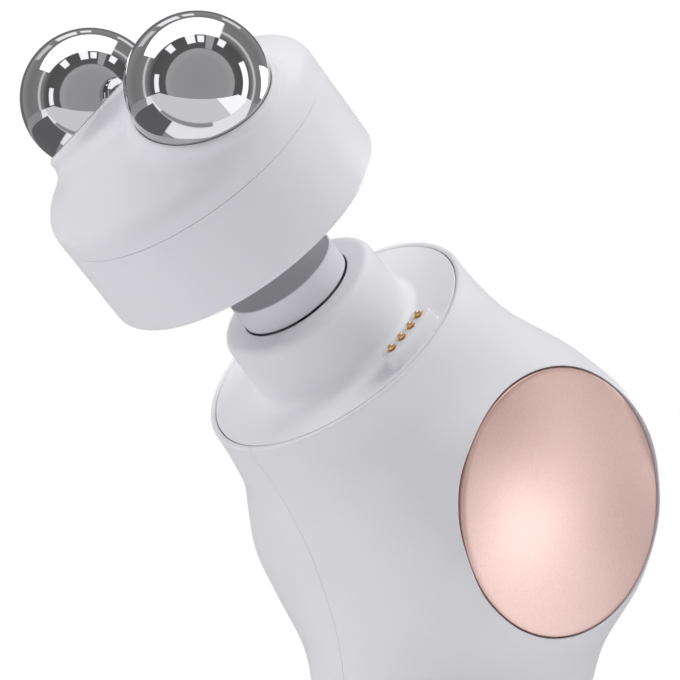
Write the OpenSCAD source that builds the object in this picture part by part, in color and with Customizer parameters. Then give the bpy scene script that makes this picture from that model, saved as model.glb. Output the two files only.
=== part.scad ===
// Facial toning device: a tilted round head on a waisted handle, a percussion plunger in the
// head's neck, and a lift-off toning ring with two ball electrodes. Millimetres, +Z up.
// Origin: centre of the rubber foot's lower face. The head looks forward, along -Y, and up.

/* [Stance] */
// Height of the face plate's centre above the table
head_h = 102; // [96:1:110]
// How far the face plate's centre stands in front of the foot's centre
head_fwd = 24; // [20:1:28]
// Tilt of the head axis from upright, in degrees
head_tilt = 45; // [40:1:50]
// Height of the waist, where the grip begins
waist_h = 42; // [38:1:46]

/* [Body sections, from the rim down] */
// Outer diameter of the head at its rim
rim_d = 50.1; // [49.6:0.1:52]
// Depth of the shoulder, just behind the rim
shoulder_depth = 50.5; // [50:0.5:53]
// Width of the shoulder
shoulder_w = 51; // [50:0.5:54]
// Depth of the upper cheek
upper_cheek_depth = 56.5; // [55:0.5:59]
// Width of the upper cheek
upper_cheek_w = 62; // [60:1:66]
// Depth of the brow, above the cheek's middle
brow_depth = 63.5; // [62:0.5:66]
// Uncut width of the brow
brow_w = 70; // [68:1:74]
// Depth of the cheek at its fullest
cheek_depth = 61.5; // [60:0.5:64]
// Uncut width of the cheek, before the side plates flatten it
cheek_w = 71; // [69:1:75]
// Depth of the lower cheek
lower_cheek_depth = 57.5; // [56:0.5:60]
// Uncut width of the lower cheek
lower_cheek_w = 66; // [64:1:70]
// Depth of the hip
hip_depth = 51.5; // [50:0.5:54]
// Width of the hip
hip_w = 52; // [50:1:56]
// Depth of the waist
waist_depth = 46.5; // [45:0.5:49]
// Width of the waist
waist_w = 48; // [46:1:52]
// Depth of the grip
grip_depth = 41; // [40:0.5:44]
// Width of the grip
grip_w = 42; // [41:1:46]
// Depth of the base
base_depth = 42; // [41:0.5:45]
// Width of the base
base_w = 42; // [41:1:46]
// Rounding of the base's lower edge
base_round = 3.5; // [2.5:0.5:4]
// Wall of the two half shells
wall = 2; // [1.6:0.1:2.2]

/* [Side plates] */
// Diameter of a side plate
side_plate_d = 45; // [42:0.5:46]
// Distance of a side plate's edge from the middle plane
side_plate_x = 28; // [27.5:0.1:28.6]
// Height of a side plate's centre
side_plate_h = 75.9; // [75:0.1:77]
// Distance of a side plate's centre behind the foot's centre
side_plate_back = 2.6; // [2:0.1:3.2]
// How far a side plate bulges outwards
side_plate_bulge = 2.6; // [1.5:0.1:3.2]
// Depth of a side plate's flat edge in its recess
side_plate_t = 1.8; // [1.4:0.1:2]

/* [Face plate and neck] */
// Diameter of the face plate
face_d = 47.7; // [46.5:0.1:47.8]
// Thickness of the face plate
face_t = 2.2; // [1.8:0.1:2.6]
// Radius of the neck at its foot
neck_foot_r = 15; // [14.6:0.1:15.4]
// Radius of the neck at its top
neck_top_r = 14.5; // [13.8:0.1:14.6]
// Height of the neck above the face plate
neck_h = 11.6; // [11:0.1:11.8]
// Rounding of the neck's top edge
neck_round = 1.6; // [1:0.1:2]
// Rounding where the neck meets the face plate
neck_fillet = 2; // [1:0.1:2.2]

/* [Percussion drive] */
// Travel of the plunger
stroke = 3.5; // [2:0.1:3.6]
// Radius of the plunger's round cap
cap_r = 10; // [9.4:0.1:10.2]
// Height of the cap's lower edge above the face plate
cap_low = 12.2; // [12:0.1:12.6]
// Height of the cap
cap_h = 4.4; // [3.6:0.1:4.6]
// Radius of the plunger's shaft
shaft_r = 3; // [2.6:0.1:3.2]
// Outer radius of the guide bushing
bushing_r = 5.5; // [5:0.1:6]
// Distance between the rod's two pivots
rod_len = 15; // [14:0.5:16]
// Thickness of the connecting rod
rod_t = 3; // [2.4:0.1:3.2]
// Radius of the crank pin
crank_pin_r = 1.25; // [1:0.05:1.4]
// Radius of the wrist pin
wrist_pin_r = 1; // [0.8:0.05:1.2]
// Radius of the motor
motor_r = 12; // [11:0.1:12.2]
// Length of the motor
motor_len = 14; // [12:0.5:14.5]
// Radius of the motor's shaft
motor_shaft_r = 1.5; // [1.2:0.1:1.8]

/* [Contact pins] */
// Radius of the arc that the four contact pins stand on
pin_arc_r = 20.95; // [20.6:0.05:21.2]
// Spacing of the contact pins along the arc
pin_pitch = 2.6; // [2.5:0.05:2.8]
// Radius of a contact pin
pin_r = 0.55; // [0.45:0.05:0.6]
// How far a contact pin stands above its block
pin_proud = 0.8; // [0.6:0.05:0.9]
// Height of the pin block above the face plate
pin_block_h = 2.6; // [2.2:0.1:2.8]
// Width of the pin block, across the arc
pin_block_w = 4.2; // [3.8:0.1:4.4]

/* [Toning ring] */
// How far the ring is lifted off the face plate
ring_lift = 26.85; // [20:0.05:30]
// Outer radius of the ring
ring_r = 25.3; // [25:0.1:25.8]
// Height of the ring's side up to its seam
ring_side_h = 15.6; // [15.2:0.1:16.4]
// Height of the cover's side above the seam, up to where its sloping deck would meet it
cover_side_h = 3.6; // [3:0.1:4]
// How much the cover's deck narrows for each millimetre that it rises
deck_slope = 1.55; // [1.4:0.05:1.7]
// Rounding between the cover's side and its deck
cover_round = 3; // [2:0.1:4]
// Height of the deck's top, between and beside the cups
deck_top_h = 26; // [25:0.1:26.5]
// Height of the saddle that joins the two cups
saddle_h = 28.6; // [28:0.1:29.5]
// Wall of the ring
ring_wall = 2; // [1.6:0.1:2.2]
// Radius of the hollow that swallows the neck
well_r = 17.2; // [17.1:0.05:17.4]
// Radius of a ball electrode
ball_r = 11.5; // [11:0.1:11.8]
// Distance of a ball's centre from the middle plane
ball_x = 14.75; // [14.5:0.05:15]
// Height of a ball's centre above the ring's back face
ball_h = 28.8; // [28.4:0.1:29.2]
// Outward cant of a cup, in degrees
cup_cant = 21; // [18:1:24]
// How far a cup's rim lies below its ball's centre
cup_below = 1.85; // [1.5:0.05:2.2]
// Wall of a cup at its rim
cup_wall = 0.8; // [0.6:0.1:1]

/* [Controls] */
// Width of the control panel on the spine
panel_w = 14; // [13:0.5:15]
// Height of the control panel
panel_h = 28; // [27:0.5:29]
// Height of the control panel's centre above the table
panel_mid = 70.8; // [70:0.1:72]
// How deep the control panel's face lies in the spine, at its middle
panel_sink = 0.2; // [0.1:0.05:0.5]
// Radius that the control panel's face is curved to, along its length
panel_curve_r = 65; // [60:1:75]
// Thickness of the control panel
panel_t = 1.3; // [1.1:0.1:1.4]
// Radius of a button
button_r = 3.3; // [3:0.1:3.4]
// Travel of a button
button_travel = 0.5; // [0.3:0.1:0.6]

/* [Power] */
// Radius of the battery cell
cell_r = 9.2; // [8.8:0.1:9.2]
// Length of the battery cell
cell_len = 50; // [44:1:50]
// Radius of the rubber foot
foot_r = 16.5; // [14:0.5:16.5]
// Thickness of the rubber foot
foot_t = 1.6; // [1.2:0.1:1.8]
// How far the rubber foot stands below the shells
foot_proud = 0.6; // [0.3:0.1:0.8]
// Height of the charging socket's centre above the table
socket_h = 12; // [11.5:0.1:12.5]

/* [Hidden] */

$fn = 64;
eps = 0.01;             // overshoot of a cut
fit_gap = 0.15;         // gap between a piece and the recess that it sits in
seat_gap = 0.02;        // gap of a pressed or screwed seat
run_gap = 0.05;         // radial clearance of a shaft or pin that runs in a bore
free_gap = 0.3;         // gap between pieces that move past each other
big = 200;              // longer than the device

shell_white = [0.93, 0.93, 0.95];
cover_white = [0.9, 0.9, 0.92];
rose_gold = [0.85, 0.66, 0.62];
chrome = [0.8, 0.8, 0.82];
steel = [0.6, 0.6, 0.63];
gold = [0.85, 0.65, 0.3];
dark = [0.12, 0.12, 0.13];
green = [0.1, 0.35, 0.2];
copper = [0.75, 0.42, 0.22];

// ---------------------------------------------------------------- body surface

// A section's place runs from 0 at the rim, through 1 at the waist, to 2 at the base.
// Each row: place, depth, half width, where the widest point lies between throat (0) and
// spine (1), and how square the section is in front of and behind that point.
sections = [
    [0.00, rim_d, rim_d / 2, 0.50, 2.00, 2.00],
    [0.10, shoulder_depth, shoulder_w / 2, 0.58, 2.20, 2.40],
    [0.20, upper_cheek_depth, upper_cheek_w / 2, 0.56, 2.00, 2.80],
    [0.32, brow_depth, brow_w / 2, 0.53, 2.20, 2.60],
    [0.45, cheek_depth, cheek_w / 2, 0.55, 2.50, 2.60],
    [0.60, lower_cheek_depth, lower_cheek_w / 2, 0.55, 2.40, 2.20],
    [0.80, hip_depth, hip_w / 2, 0.49, 2.15, 2.00],
    [1.00, waist_depth, waist_w / 2, 0.51, 2.05, 2.15],
    [1.40, grip_depth, grip_w / 2, 0.50, 2.10, 2.20],
    [2.00, base_depth, base_w / 2, 0.50, 2.10, 2.20]
];
last_section = len(sections) - 1;
throat_run = 19.5;      // length of the straight pull of the throat's curve below the rim
waist_run = 11;         // length of its pull above the waist

function slope_at(col, i) = (i == 0 || i == last_section) ? 0 :
    let (h0 = sections[i][0] - sections[i - 1][0], h1 = sections[i + 1][0] - sections[i][0],
         d0 = (sections[i][col] - sections[i - 1][col]) / h0,
         d1 = (sections[i + 1][col] - sections[i][col]) / h1)
    (d0 * h1 + d1 * h0) / (h0 + h1);

function section_below(u, i = 0) =
    (i >= last_section - 1 || u < sections[i + 1][0]) ? i : section_below(u, i + 1);

// One column of the section table at place u, on a smooth curve through its rows
function section_value(u, col) =
    let (i = section_below(u), h = sections[i + 1][0] - sections[i][0],
         t = (u - sections[i][0]) / h, r = 1 - t)
    sections[i][col] * (1 + 2 * t) * r * r + slope_at(col, i) * h * t * r * r
    + sections[i + 1][col] * t * t * (3 - 2 * t) + slope_at(col, i + 1) * h * t * t * (t - 1);

throat_start = [-head_fwd - rim_d / 2 * cos(head_tilt), head_h - rim_d / 2 * sin(head_tilt)];
throat_pull = throat_start + throat_run * [sin(head_tilt), -cos(head_tilt)];
throat_end = [-base_depth / 2, waist_h];
waist_pull = throat_end + [0, waist_run];

// The throat's curve in the middle plane, as [y, z]
function throat_at(u) = u > 1 ?
    [throat_end[0], waist_h + (u - 1) * (foot_proud - waist_h)] :
    pow(1 - u, 3) * throat_start + 3 * pow(1 - u, 2) * u * throat_pull
    + 3 * (1 - u) * u * u * waist_pull + u * u * u * throat_end;

function section_tilt(u) = u > 1 ? 0 : head_tilt * pow(1 - u, 2);

side_steps = 24;        // facets from the throat round one side to the spine

// The points of one side of the section at place u, drawn in by inset
function section_points(u, inset) =
    let (tilt = section_tilt(u), dir = [cos(tilt), sin(tilt)],
         start = throat_at(u) + inset * dir, depth = section_value(u, 1) - 2 * inset,
         half = section_value(u, 2) - inset, mid = section_value(u, 3) * depth)
    [for (k = [0:side_steps])
        let (a = -90 + 180 * k / side_steps, n = section_value(u, a < 0 ? 4 : 5),
             out = pow(abs(cos(a)), 2 / n), along = sign(a) * pow(abs(sin(a)), 2 / n),
             v = mid + (a < 0 ? mid : depth - mid) * along, p = start + v * dir)
        [half * out, p[0], p[1]]];

module loft(rows) {
    rings = [for (row = rows) section_points(row[0], row[1])];
    n = side_steps + 1;
    count = len(rings);
    polyhedron(
        points = [for (ring = rings) each ring],
        faces = concat(
            [[for (k = [side_steps:-1:0]) k]],
            [[for (k = [0:side_steps]) (count - 1) * n + k]],
            [for (i = [0:count - 2], k = [0:side_steps - 1]) each
                [[i * n + k, i * n + k + 1, (i + 1) * n + k + 1],
                 [i * n + k, (i + 1) * n + k + 1, (i + 1) * n + k]]],
            [for (i = [0:count - 2]) each
                [[i * n + side_steps, i * n, (i + 1) * n],
                 [i * n + side_steps, (i + 1) * n, (i + 1) * n + side_steps]]]));
}

function place_of_height(z) = 1 + (waist_h - z) / (waist_h - foot_proud);

// The spine's [y, z] at place u, and how far it stands behind the foot's centre at height z
function spine_at(u) = let (tilt = section_tilt(u), depth = section_value(u, 1))
    throat_at(u) + depth * [cos(tilt), sin(tilt)];
function spine_back(z, low = 0, high = 1, tries = 24) = let (mid = (low + high) / 2)
    tries == 0 ? spine_at(mid)[0] :
    spine_at(mid)[1] > z ? spine_back(z, mid, high, tries - 1) : spine_back(z, low, mid, tries - 1);

panel_back = spine_back(panel_mid) - panel_sink;

upper_rows = 22;        // sections from the rim to the waist
lower_rows = 6;         // sections from the waist to the base's rounding
round_rows = 4;         // sections of that rounding
base_round_place = place_of_height(foot_proud + base_round);
outer_rows = concat(
    [for (i = [0:upper_rows]) [i / upper_rows, 0]],
    [for (i = [1:lower_rows]) [1 + (base_round_place - 1) * i / lower_rows, 0]],
    [for (i = [1:round_rows]) let (a = 90 * i / round_rows)
        [place_of_height(foot_proud + base_round * (1 - sin(a))), base_round * (1 - cos(a))]]);

floor_t = 2;            // thickness of the shells' floor above the foot's recess
floor_z = foot_t + floor_t;
cavity_start = 0.08;    // place where the cavity opens out behind the face plate's ledge
cavity_rows = 20;
cavity_end = place_of_height(floor_z);
inner_rows = [for (i = [0:cavity_rows])
    [cavity_start + (cavity_end - cavity_start) * i / cavity_rows, wall]];

// ---------------------------------------------------------------- placing

module at_head() {
    translate([0, -head_fwd, head_h]) rotate([head_tilt, 0, 0]) children();
}

module at_ring() {
    at_head() translate([0, 0, ring_lift + fit_gap]) children();
}

// Turns a cylinder's axis from +Z to +X, or to +Y
module along_x() { rotate([0, 90, 0]) children(); }
module along_y() { rotate([-90, 0, 0]) children(); }

module tube(r_out, r_in, h) {
    difference() {
        cylinder(r = r_out, h = h);
        translate([0, 0, -eps]) cylinder(r = r_in, h = h + 2 * eps);
    }
}

// A slot shape with round ends, taller than wide
module slot(w, h) {
    square([w, h - w], center = true);
    for (side = [-1, 1]) translate([0, side * (h - w) / 2]) circle(d = w);
}

// A block between two radii that reaches the same angle to each side of +X
module arc_block(r_in, r_out, half_angle, h) {
    intersection() {
        tube(r_out, r_in, h);
        linear_extrude(h) polygon([[0, 0], 2 * r_out * [cos(half_angle), -sin(half_angle)],
            [3 * r_out, 0], 2 * r_out * [cos(half_angle), sin(half_angle)]]);
    }
}

// ---------------------------------------------------------------- half shells

ledge_w = 2;            // width of the ledge under the face plate's edge
face_seat_r = face_d / 2 + fit_gap;
seat_x = side_plate_x - side_plate_t;
cavity_x = seat_x - wall;
side_seat_r = side_plate_d / 2 + fit_gap;

screw_r = 1.2;
screw_head_r = 2.2;
screw_head_t = 1.2;
boss_r = 3;
screw_bite = 12;        // how deep a shell screw reaches into the right shell
screw_spot_r = 19;      // distance of a shell screw from the side plate's centre
cell_clear = 0.5;       // gap between a screw's boss and the battery cell beside it
motor_clear = 2.2;      // gap between a screw's boss and the motor beside it
wrist_z = -11;          // wrist pin at the top of the stroke, from the face plate
throw = stroke / 2;
big_end_z = wrist_z - rod_len;
motor_z = big_end_z - throw;
// The motor's axis from the side plate's centre, as [y, z]
motor_way = [-head_fwd - motor_z * sin(head_tilt) - side_plate_back,
             head_h + motor_z * cos(head_tilt) - side_plate_h];
motor_off = norm(motor_way);
motor_reach = motor_r + boss_r + motor_clear;
motor_turn = acos((screw_spot_r * screw_spot_r + motor_off * motor_off - motor_reach * motor_reach)
                  / (2 * screw_spot_r * motor_off));
// Shell screws, hidden under the left side plate: [distance from its centre, angle]. The
// second stands clear of the battery cell, and the third of the motor.
screw_spots = [
    [screw_spot_r, 35],
    [screw_spot_r, -acos((cell_r + boss_r + cell_clear - side_plate_back) / screw_spot_r)],
    [screw_spot_r, atan2(motor_way[1], motor_way[0]) + motor_turn]
];

function screw_yz(spot) = [side_plate_back + spot[0] * cos(spot[1]),
                           side_plate_h + spot[0] * sin(spot[1])];

// Ears of the motor bracket, as [y, z] from the motor's axis in the head's frame
ear_reach = motor_r + 3.6;
ears = [[0, -ear_reach], [ear_reach, 0]];
ear_post_r = 2.8;

window_margin = 2;              // how far the shells' window stays inside the panel's edge
window_w = panel_w - 2 * window_margin;
window_h = panel_h - 2 * window_margin;
rail_w = 4;                     // width of the rails that carry the boards
rail_h = 20;
rail_lap = 1;                   // how far the main board's rails lap over its edges
rail_end = 2;                   // how far those rails stop short of its ends
rail_drop = 1.8;                // depth of the rails' backs below the panel's face
rail_back = panel_back - rail_drop;
button_board_drop = 6.6;        // least depth of the button board below the panel's face
button_board_clear = 1;         // least gap between the button board's ends and the wall behind them
button_board_t = 1.2;
button_board_back = min(panel_back - button_board_drop,
    min(spine_back(panel_mid - window_h / 2), spine_back(panel_mid + window_h / 2))
    - wall - button_board_t - button_board_clear);
inlet_board_t = 1.2;
socket_w = 8.9;
socket_t = 3.2;
inlet_top = socket_h - socket_t / 2;
inlet_post_x = 4;
inlet_post_r = 1.5;
inlet_y = 14.5;
socket_recess = 2;              // depth of the socket's mouth below the base's back
inlet_board_w = 12;
inlet_board_d = 6;

module side_seat_cut() {
    translate([seat_x, side_plate_back, side_plate_h]) along_x()
        cylinder(r = side_seat_r, h = big);
}

module shell_wall() {
    difference() {
        loft(outer_rows);
        intersection() {
            loft(inner_rows);
            translate([-eps, -big, -big]) cube([cavity_x + eps, 2 * big, 2 * big]);
        }
        at_head() translate([0, 0, -face_t]) cylinder(r = face_seat_r, h = big);
        at_head() translate([0, 0, -face_t - 3 * wall]) cylinder(r = face_seat_r - ledge_w, h = big);
        side_seat_cut();
        translate([0, 0, -eps]) cylinder(r = foot_r + fit_gap, h = foot_t + eps);
    }
}

// Distance behind the foot's centre, at height z, of a face that lies depth below the panel's
function panel_face(z, depth) = panel_back - panel_curve_r
    + sqrt(pow(panel_curve_r - depth, 2) - pow(z - panel_mid, 2));

// A curved sheet between two depths below the panel's face, cut to the child's outline
module panel_sheet(depth, t) {
    intersection() {
        translate([0, button_board_back, panel_mid]) rotate([90, 0, 180]) linear_extrude(big)
            children();
        translate([-panel_w, panel_back - panel_curve_r, panel_mid]) along_x()
            tube(panel_curve_r - depth, panel_curve_r - depth - t, 2 * panel_w, $fn = 96);
    }
}

module window_cuts() {
    panel_sheet(-big / 10, big / 10 + panel_t) slot(panel_w, panel_h);
    translate([0, button_board_back, panel_mid]) rotate([90, 0, 180]) linear_extrude(big)
        slot(window_w, window_h);
    translate([0, base_depth / 4, socket_h]) rotate([90, 90, 180]) linear_extrude(big)
        slot(socket_t + 2 * fit_gap, socket_w + 2 * fit_gap);
}

module board_rails() {
    rail_front = button_board_back + button_board_t;
    translate([window_w / 2, rail_front, panel_mid - rail_h / 2])
        cube([rail_w, rail_back - rail_front, rail_h]);
    translate([board_w / 2 - rail_lap, board_y - rib_t - seat_gap, board_low + rail_end])
        cube([rail_w + rail_lap, rib_t, board_high - board_low - 2 * rail_end]);
}

module shell_half() {
    difference() {
        union() {
            shell_wall();
            board_rails();
            for (spot = screw_spots) translate([0, screw_yz(spot)[0], screw_yz(spot)[1]])
                along_x() cylinder(r = boss_r, h = cavity_x + wall / 2);
            translate([inlet_post_x, inlet_y, foot_t + floor_t / 2])
                cylinder(r = inlet_post_r,
                         h = inlet_top - inlet_board_t - seat_gap - foot_t - floor_t / 2);
        }
        window_cuts();
    }
}

module right_shell() {
    color(shell_white) difference() {
        union() {
            shell_half();
            for (ear = ears) at_head() translate([bracket_x + bracket_t, ear[0], motor_z + ear[1]])
                along_x() cylinder(r = ear_post_r, h = cavity_x + wall / 2 - bracket_x - bracket_t);
        }
        for (spot = screw_spots) translate([-eps, screw_yz(spot)[0], screw_yz(spot)[1]])
            along_x() cylinder(r = screw_r + seat_gap, h = screw_bite + 1);
        for (ear = ears) at_head() translate([bracket_x, ear[0], motor_z + ear[1]])
            along_x() cylinder(r = screw_r + seat_gap, h = ear_screw_len + 1);
    }
}

module left_shell() {
    color(shell_white) mirror([1, 0, 0]) difference() {
        shell_half();
        for (spot = screw_spots) translate([0, screw_yz(spot)[0], screw_yz(spot)[1]]) {
            translate([-eps, 0, 0]) along_x() cylinder(r = screw_r + fit_gap, h = big);
            translate([seat_x - screw_head_t, 0, 0]) along_x()
                cylinder(r = screw_head_r + fit_gap, h = big);
        }
    }
}

module shell_screws() {
    color(steel) for (spot = screw_spots)
        translate([-seat_x, screw_yz(spot)[0], screw_yz(spot)[1]]) along_x() {
            cylinder(r = screw_head_r, h = screw_head_t - seat_gap);
            cylinder(r = screw_r, h = seat_x + screw_bite);
        }
}

// A domed plate: a flat edge that sits in the recess, and a cap of a large sphere
module side_plate() {
    r = side_plate_d / 2;
    sphere_r = (r * r + side_plate_bulge * side_plate_bulge) / (2 * side_plate_bulge);
    edge_a = asin(r / sphere_r);
    arc_steps = 16;
    translate([seat_x, side_plate_back, side_plate_h]) along_x()
        rotate_extrude($fn = 96) polygon(concat([[0, 0], [r, 0]],
            [for (i = [0:arc_steps]) let (a = edge_a * (1 - i / arc_steps))
                [sphere_r * sin(a), side_plate_t + sphere_r * (cos(a) - cos(edge_a))]]));
}

module right_side_plate() { color(rose_gold) side_plate(); }
module left_side_plate() { color(rose_gold) mirror([1, 0, 0]) side_plate(); }

// ---------------------------------------------------------------- face plate and neck

recess_r = cap_r + free_gap;
recess_floor = cap_low - stroke - 1.3;
neck_wall = 2;
bushing_low = -5.5;
bushing_boss_r = bushing_r + 2;
corner_steps = 6;

function arc_points(centre, r, from, to) = [for (i = [0:corner_steps])
    let (a = from + (to - from) * i / corner_steps) centre + r * [cos(a), sin(a)]];

module neck_profile() {
    polygon(concat(
        [[bushing_r + seat_gap, bushing_low], [bushing_boss_r, bushing_low],
         [bushing_boss_r, recess_floor - neck_wall], [neck_top_r - neck_wall, recess_floor - neck_wall],
         [neck_foot_r - neck_wall, -face_t], [face_d / 2, -face_t], [face_d / 2, 0]],
        arc_points([neck_foot_r + neck_fillet, neck_fillet], neck_fillet, 270, 180),
        arc_points([neck_top_r - neck_round, neck_h - neck_round], neck_round, 0, 90),
        [[recess_r, neck_h], [recess_r, recess_floor], [bushing_r + seat_gap, recess_floor]]));
}

pin_angle = pin_pitch / pin_arc_r * 180 / PI;
pin_angles = [for (i = [-1.5:1:1.5]) i * pin_angle];
barrel_r = 0.95;
barrel_low = -5;
block_half_angle = 1.5 * pin_angle + 5;

module at_pin(i) { rotate([0, 0, pin_angles[i]]) translate([pin_arc_r, 0, 0]) children(); }

module face_plate() {
    color(shell_white) at_head() difference() {
        union() {
            rotate_extrude($fn = 96) neck_profile();
            translate([0, 0, -eps]) arc_block(pin_arc_r - pin_block_w / 2,
                pin_arc_r + pin_block_w / 2, block_half_angle, pin_block_h + eps);
        }
        for (i = [0:3]) at_pin(i) translate([0, 0, -face_t - eps])
            cylinder(r = barrel_r + seat_gap, h = big, $fn = 32);
    }
}

module pin_barrels() {
    color(gold) at_head() for (i = [0:3]) at_pin(i) translate([0, 0, barrel_low])
        tube(barrel_r, pin_r + run_gap, pin_block_h - barrel_low, $fn = 32);
}

module contact_board() {
    board_t = 1.2;
    color(green) at_head() translate([0, 0, barrel_low - board_t])
        arc_block(pin_arc_r - 2.6, pin_arc_r + 0.8, block_half_angle, board_t);
}

module contact_pin(i) {
    tip = pin_block_h + pin_proud;
    low = barrel_low + pin_proud + free_gap;
    color(gold) at_head() at_pin(i) translate([0, 0, low]) {
        cylinder(r = pin_r, h = tip - low - pin_r, $fn = 32);
        translate([0, 0, tip - low - pin_r]) intersection() {
            sphere(r = pin_r, $fn = 32);
            cylinder(r = pin_r, h = pin_r, $fn = 32);
        }
    }
}

module contact_pin_1() { contact_pin(0); }
module contact_pin_2() { contact_pin(1); }
module contact_pin_3() { contact_pin(2); }
module contact_pin_4() { contact_pin(3); }

magnet_r = 2.4;
magnet_t = 2;
magnet_arc_r = 18.4;

module plate_magnets() {
    color(steel) at_head() for (a = [60:60:300]) rotate([0, 0, a])
        translate([magnet_arc_r, 0, -face_t - magnet_t]) cylinder(r = magnet_r, h = magnet_t);
}

// ---------------------------------------------------------------- percussion drive

clevis_gap = 0.7;       // gap between the bushing and the raised clevis
clevis_reach = 3;       // length of the clevis below the wrist pin
clevis_side_t = 2;
clevis_top = bushing_low - clevis_gap;
clevis_low = wrist_z - clevis_reach;
clevis_w = rod_t + 2 * clevis_side_t;
clevis_depth = 6;
small_end_r = 2.6;
big_end_r = 3.4;
magnet_face_r = 8.6;
magnet_face_t = 1.6;
crank_gap = 0.3;        // gap between the rod's side and the crank pin's end
crank_x = rod_t / 2 + 0.8;
crank_t = 2;
crank_web_t = 0.4;      // metal left between the shaft's seat and the crank pin's
crank_seat_t = (crank_t - crank_web_t) / 2;
crank_r = throw + crank_pin_r + 2.2;
bracket_x = crank_x + crank_t + 0.4;
bracket_t = 1.6;
motor_x = bracket_x + bracket_t;
ear_screw_len = 8;
ear_screw_head_t = 1;

module shaft_bushing() {
    color(copper) at_head() translate([0, 0, bushing_low])
        tube(bushing_r, shaft_r + run_gap, recess_floor - bushing_low);
}

module dust_seal() {
    color(dark) at_head() translate([0, 0, recess_floor])
        tube(recess_r - fit_gap, shaft_r + free_gap, 0.8);
}

module plunger_shaft() {
    color(steel) at_head() {
        translate([0, 0, clevis_top]) cylinder(r = shaft_r, h = cap_low + 1 - clevis_top);
        difference() {
            translate([-clevis_w / 2, -clevis_depth / 2, clevis_low])
                cube([clevis_w, clevis_depth, clevis_top - clevis_low]);
            translate([-rod_t / 2 - free_gap, -clevis_depth, clevis_low - eps])
                cube([rod_t + 2 * free_gap, 2 * clevis_depth,
                      wrist_z - clevis_low + small_end_r + free_gap + eps]);
            translate([-clevis_w, 0, wrist_z]) along_x()
                cylinder(r = wrist_pin_r + seat_gap, h = 2 * clevis_w, $fn = 32);
        }
    }
}

module wrist_pin() {
    color(steel) at_head() translate([-clevis_w / 2, 0, wrist_z]) along_x()
        cylinder(r = wrist_pin_r, h = clevis_w, $fn = 32);
}

module plunger_cap() {
    edge = 0.6;
    color(cover_white) at_head() difference() {
        rotate_extrude($fn = 96) polygon(concat(
            [[0, cap_low], [cap_r - edge / 2, cap_low], [cap_r, cap_low + edge / 2]],
            arc_points([cap_r - edge, cap_low + cap_h - edge], edge, 0, 90), [[0, cap_low + cap_h]]));
        translate([0, 0, cap_low + cap_h - magnet_face_t])
            cylinder(r = magnet_face_r + seat_gap, h = magnet_face_t + 1);
        translate([0, 0, cap_low - eps]) cylinder(r = shaft_r + seat_gap, h = 1 + eps);
    }
}

module cap_magnet() {
    color(steel) at_head() translate([0, 0, cap_low + cap_h - magnet_face_t])
        cylinder(r = magnet_face_r, h = magnet_face_t, $fn = 96);
}

module connecting_rod() {
    color(steel) at_head() difference() {
        translate([-rod_t / 2, 0, 0]) {
            translate([0, 0, wrist_z]) along_x() cylinder(r = small_end_r, h = rod_t);
            translate([0, 0, big_end_z]) along_x() cylinder(r = big_end_r, h = rod_t);
            translate([0, -1.6, big_end_z]) cube([rod_t, 3.2, rod_len]);
        }
        translate([-rod_t, 0, wrist_z]) along_x()
            cylinder(r = wrist_pin_r + run_gap, h = 2 * rod_t, $fn = 32);
        translate([-rod_t, 0, big_end_z]) along_x()
            cylinder(r = crank_pin_r + run_gap, h = 2 * rod_t, $fn = 32);
    }
}

module crank_pin() {
    pin_x = rod_t / 2 + crank_gap;
    color(steel) at_head() translate([pin_x, 0, big_end_z]) along_x()
        cylinder(r = crank_pin_r, h = crank_x + crank_seat_t - seat_gap - pin_x, $fn = 32);
}

module crank_wheel() {
    color(steel) at_head() translate([crank_x, 0, motor_z]) along_x() difference() {
        cylinder(r = crank_r, h = crank_t);
        translate([0, 0, crank_t - crank_seat_t])
            cylinder(r = motor_shaft_r + seat_gap, h = crank_t);
        translate([-throw, 0, -eps])
            cylinder(r = crank_pin_r + seat_gap, h = crank_seat_t + eps, $fn = 32);
    }
}

end_bell_t = 1.6;
can_wall = 0.8;
stator_r = motor_r - can_wall;
stator_in = stator_r - 3.2;
rotor_r = stator_in - free_gap;

module motor_shaft() {
    start = crank_x + crank_t - crank_seat_t + seat_gap;
    color(steel) at_head() translate([start, 0, motor_z]) along_x()
        cylinder(r = motor_shaft_r, h = motor_x - start + motor_len);
}

module motor_rotor() {
    color(dark) at_head() translate([motor_x + end_bell_t + 1, 0, motor_z]) along_x()
        tube(rotor_r, motor_shaft_r + seat_gap, motor_len - 2 * end_bell_t - 2);
}

module motor_stator() {
    color(copper) at_head() translate([motor_x + end_bell_t, 0, motor_z]) along_x()
        tube(stator_r - seat_gap, stator_in, motor_len - 2 * end_bell_t);
}

module motor_housing() {
    color(steel) at_head() translate([motor_x, 0, motor_z]) along_x() difference() {
        cylinder(r = motor_r, h = motor_len);
        translate([0, 0, end_bell_t]) cylinder(r = stator_r, h = motor_len - 2 * end_bell_t);
        translate([0, 0, -eps]) cylinder(r = motor_shaft_r + run_gap, h = motor_len + 1);
    }
}

module motor_bracket() {
    plate_r = motor_r - 1;
    color(steel) at_head() difference() {
        translate([bracket_x, 0, motor_z]) {
            along_x() cylinder(r = plate_r, h = bracket_t);
            translate([0, -ear_post_r, -ear_reach]) cube([bracket_t, 2 * ear_post_r, ear_reach]);
            translate([0, 0, -ear_post_r]) cube([bracket_t, ear_reach, 2 * ear_post_r]);
            for (ear = ears) translate([0, ear[0], ear[1]]) along_x()
                cylinder(r = ear_post_r, h = bracket_t);
        }
        translate([bracket_x - eps, 0, motor_z]) along_x()
            cylinder(r = motor_shaft_r + 1, h = bracket_t + 1);
        for (ear = ears) translate([bracket_x - eps, ear[0], motor_z + ear[1]]) along_x()
            cylinder(r = screw_r + fit_gap, h = bracket_t + 1);
    }
}

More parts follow.
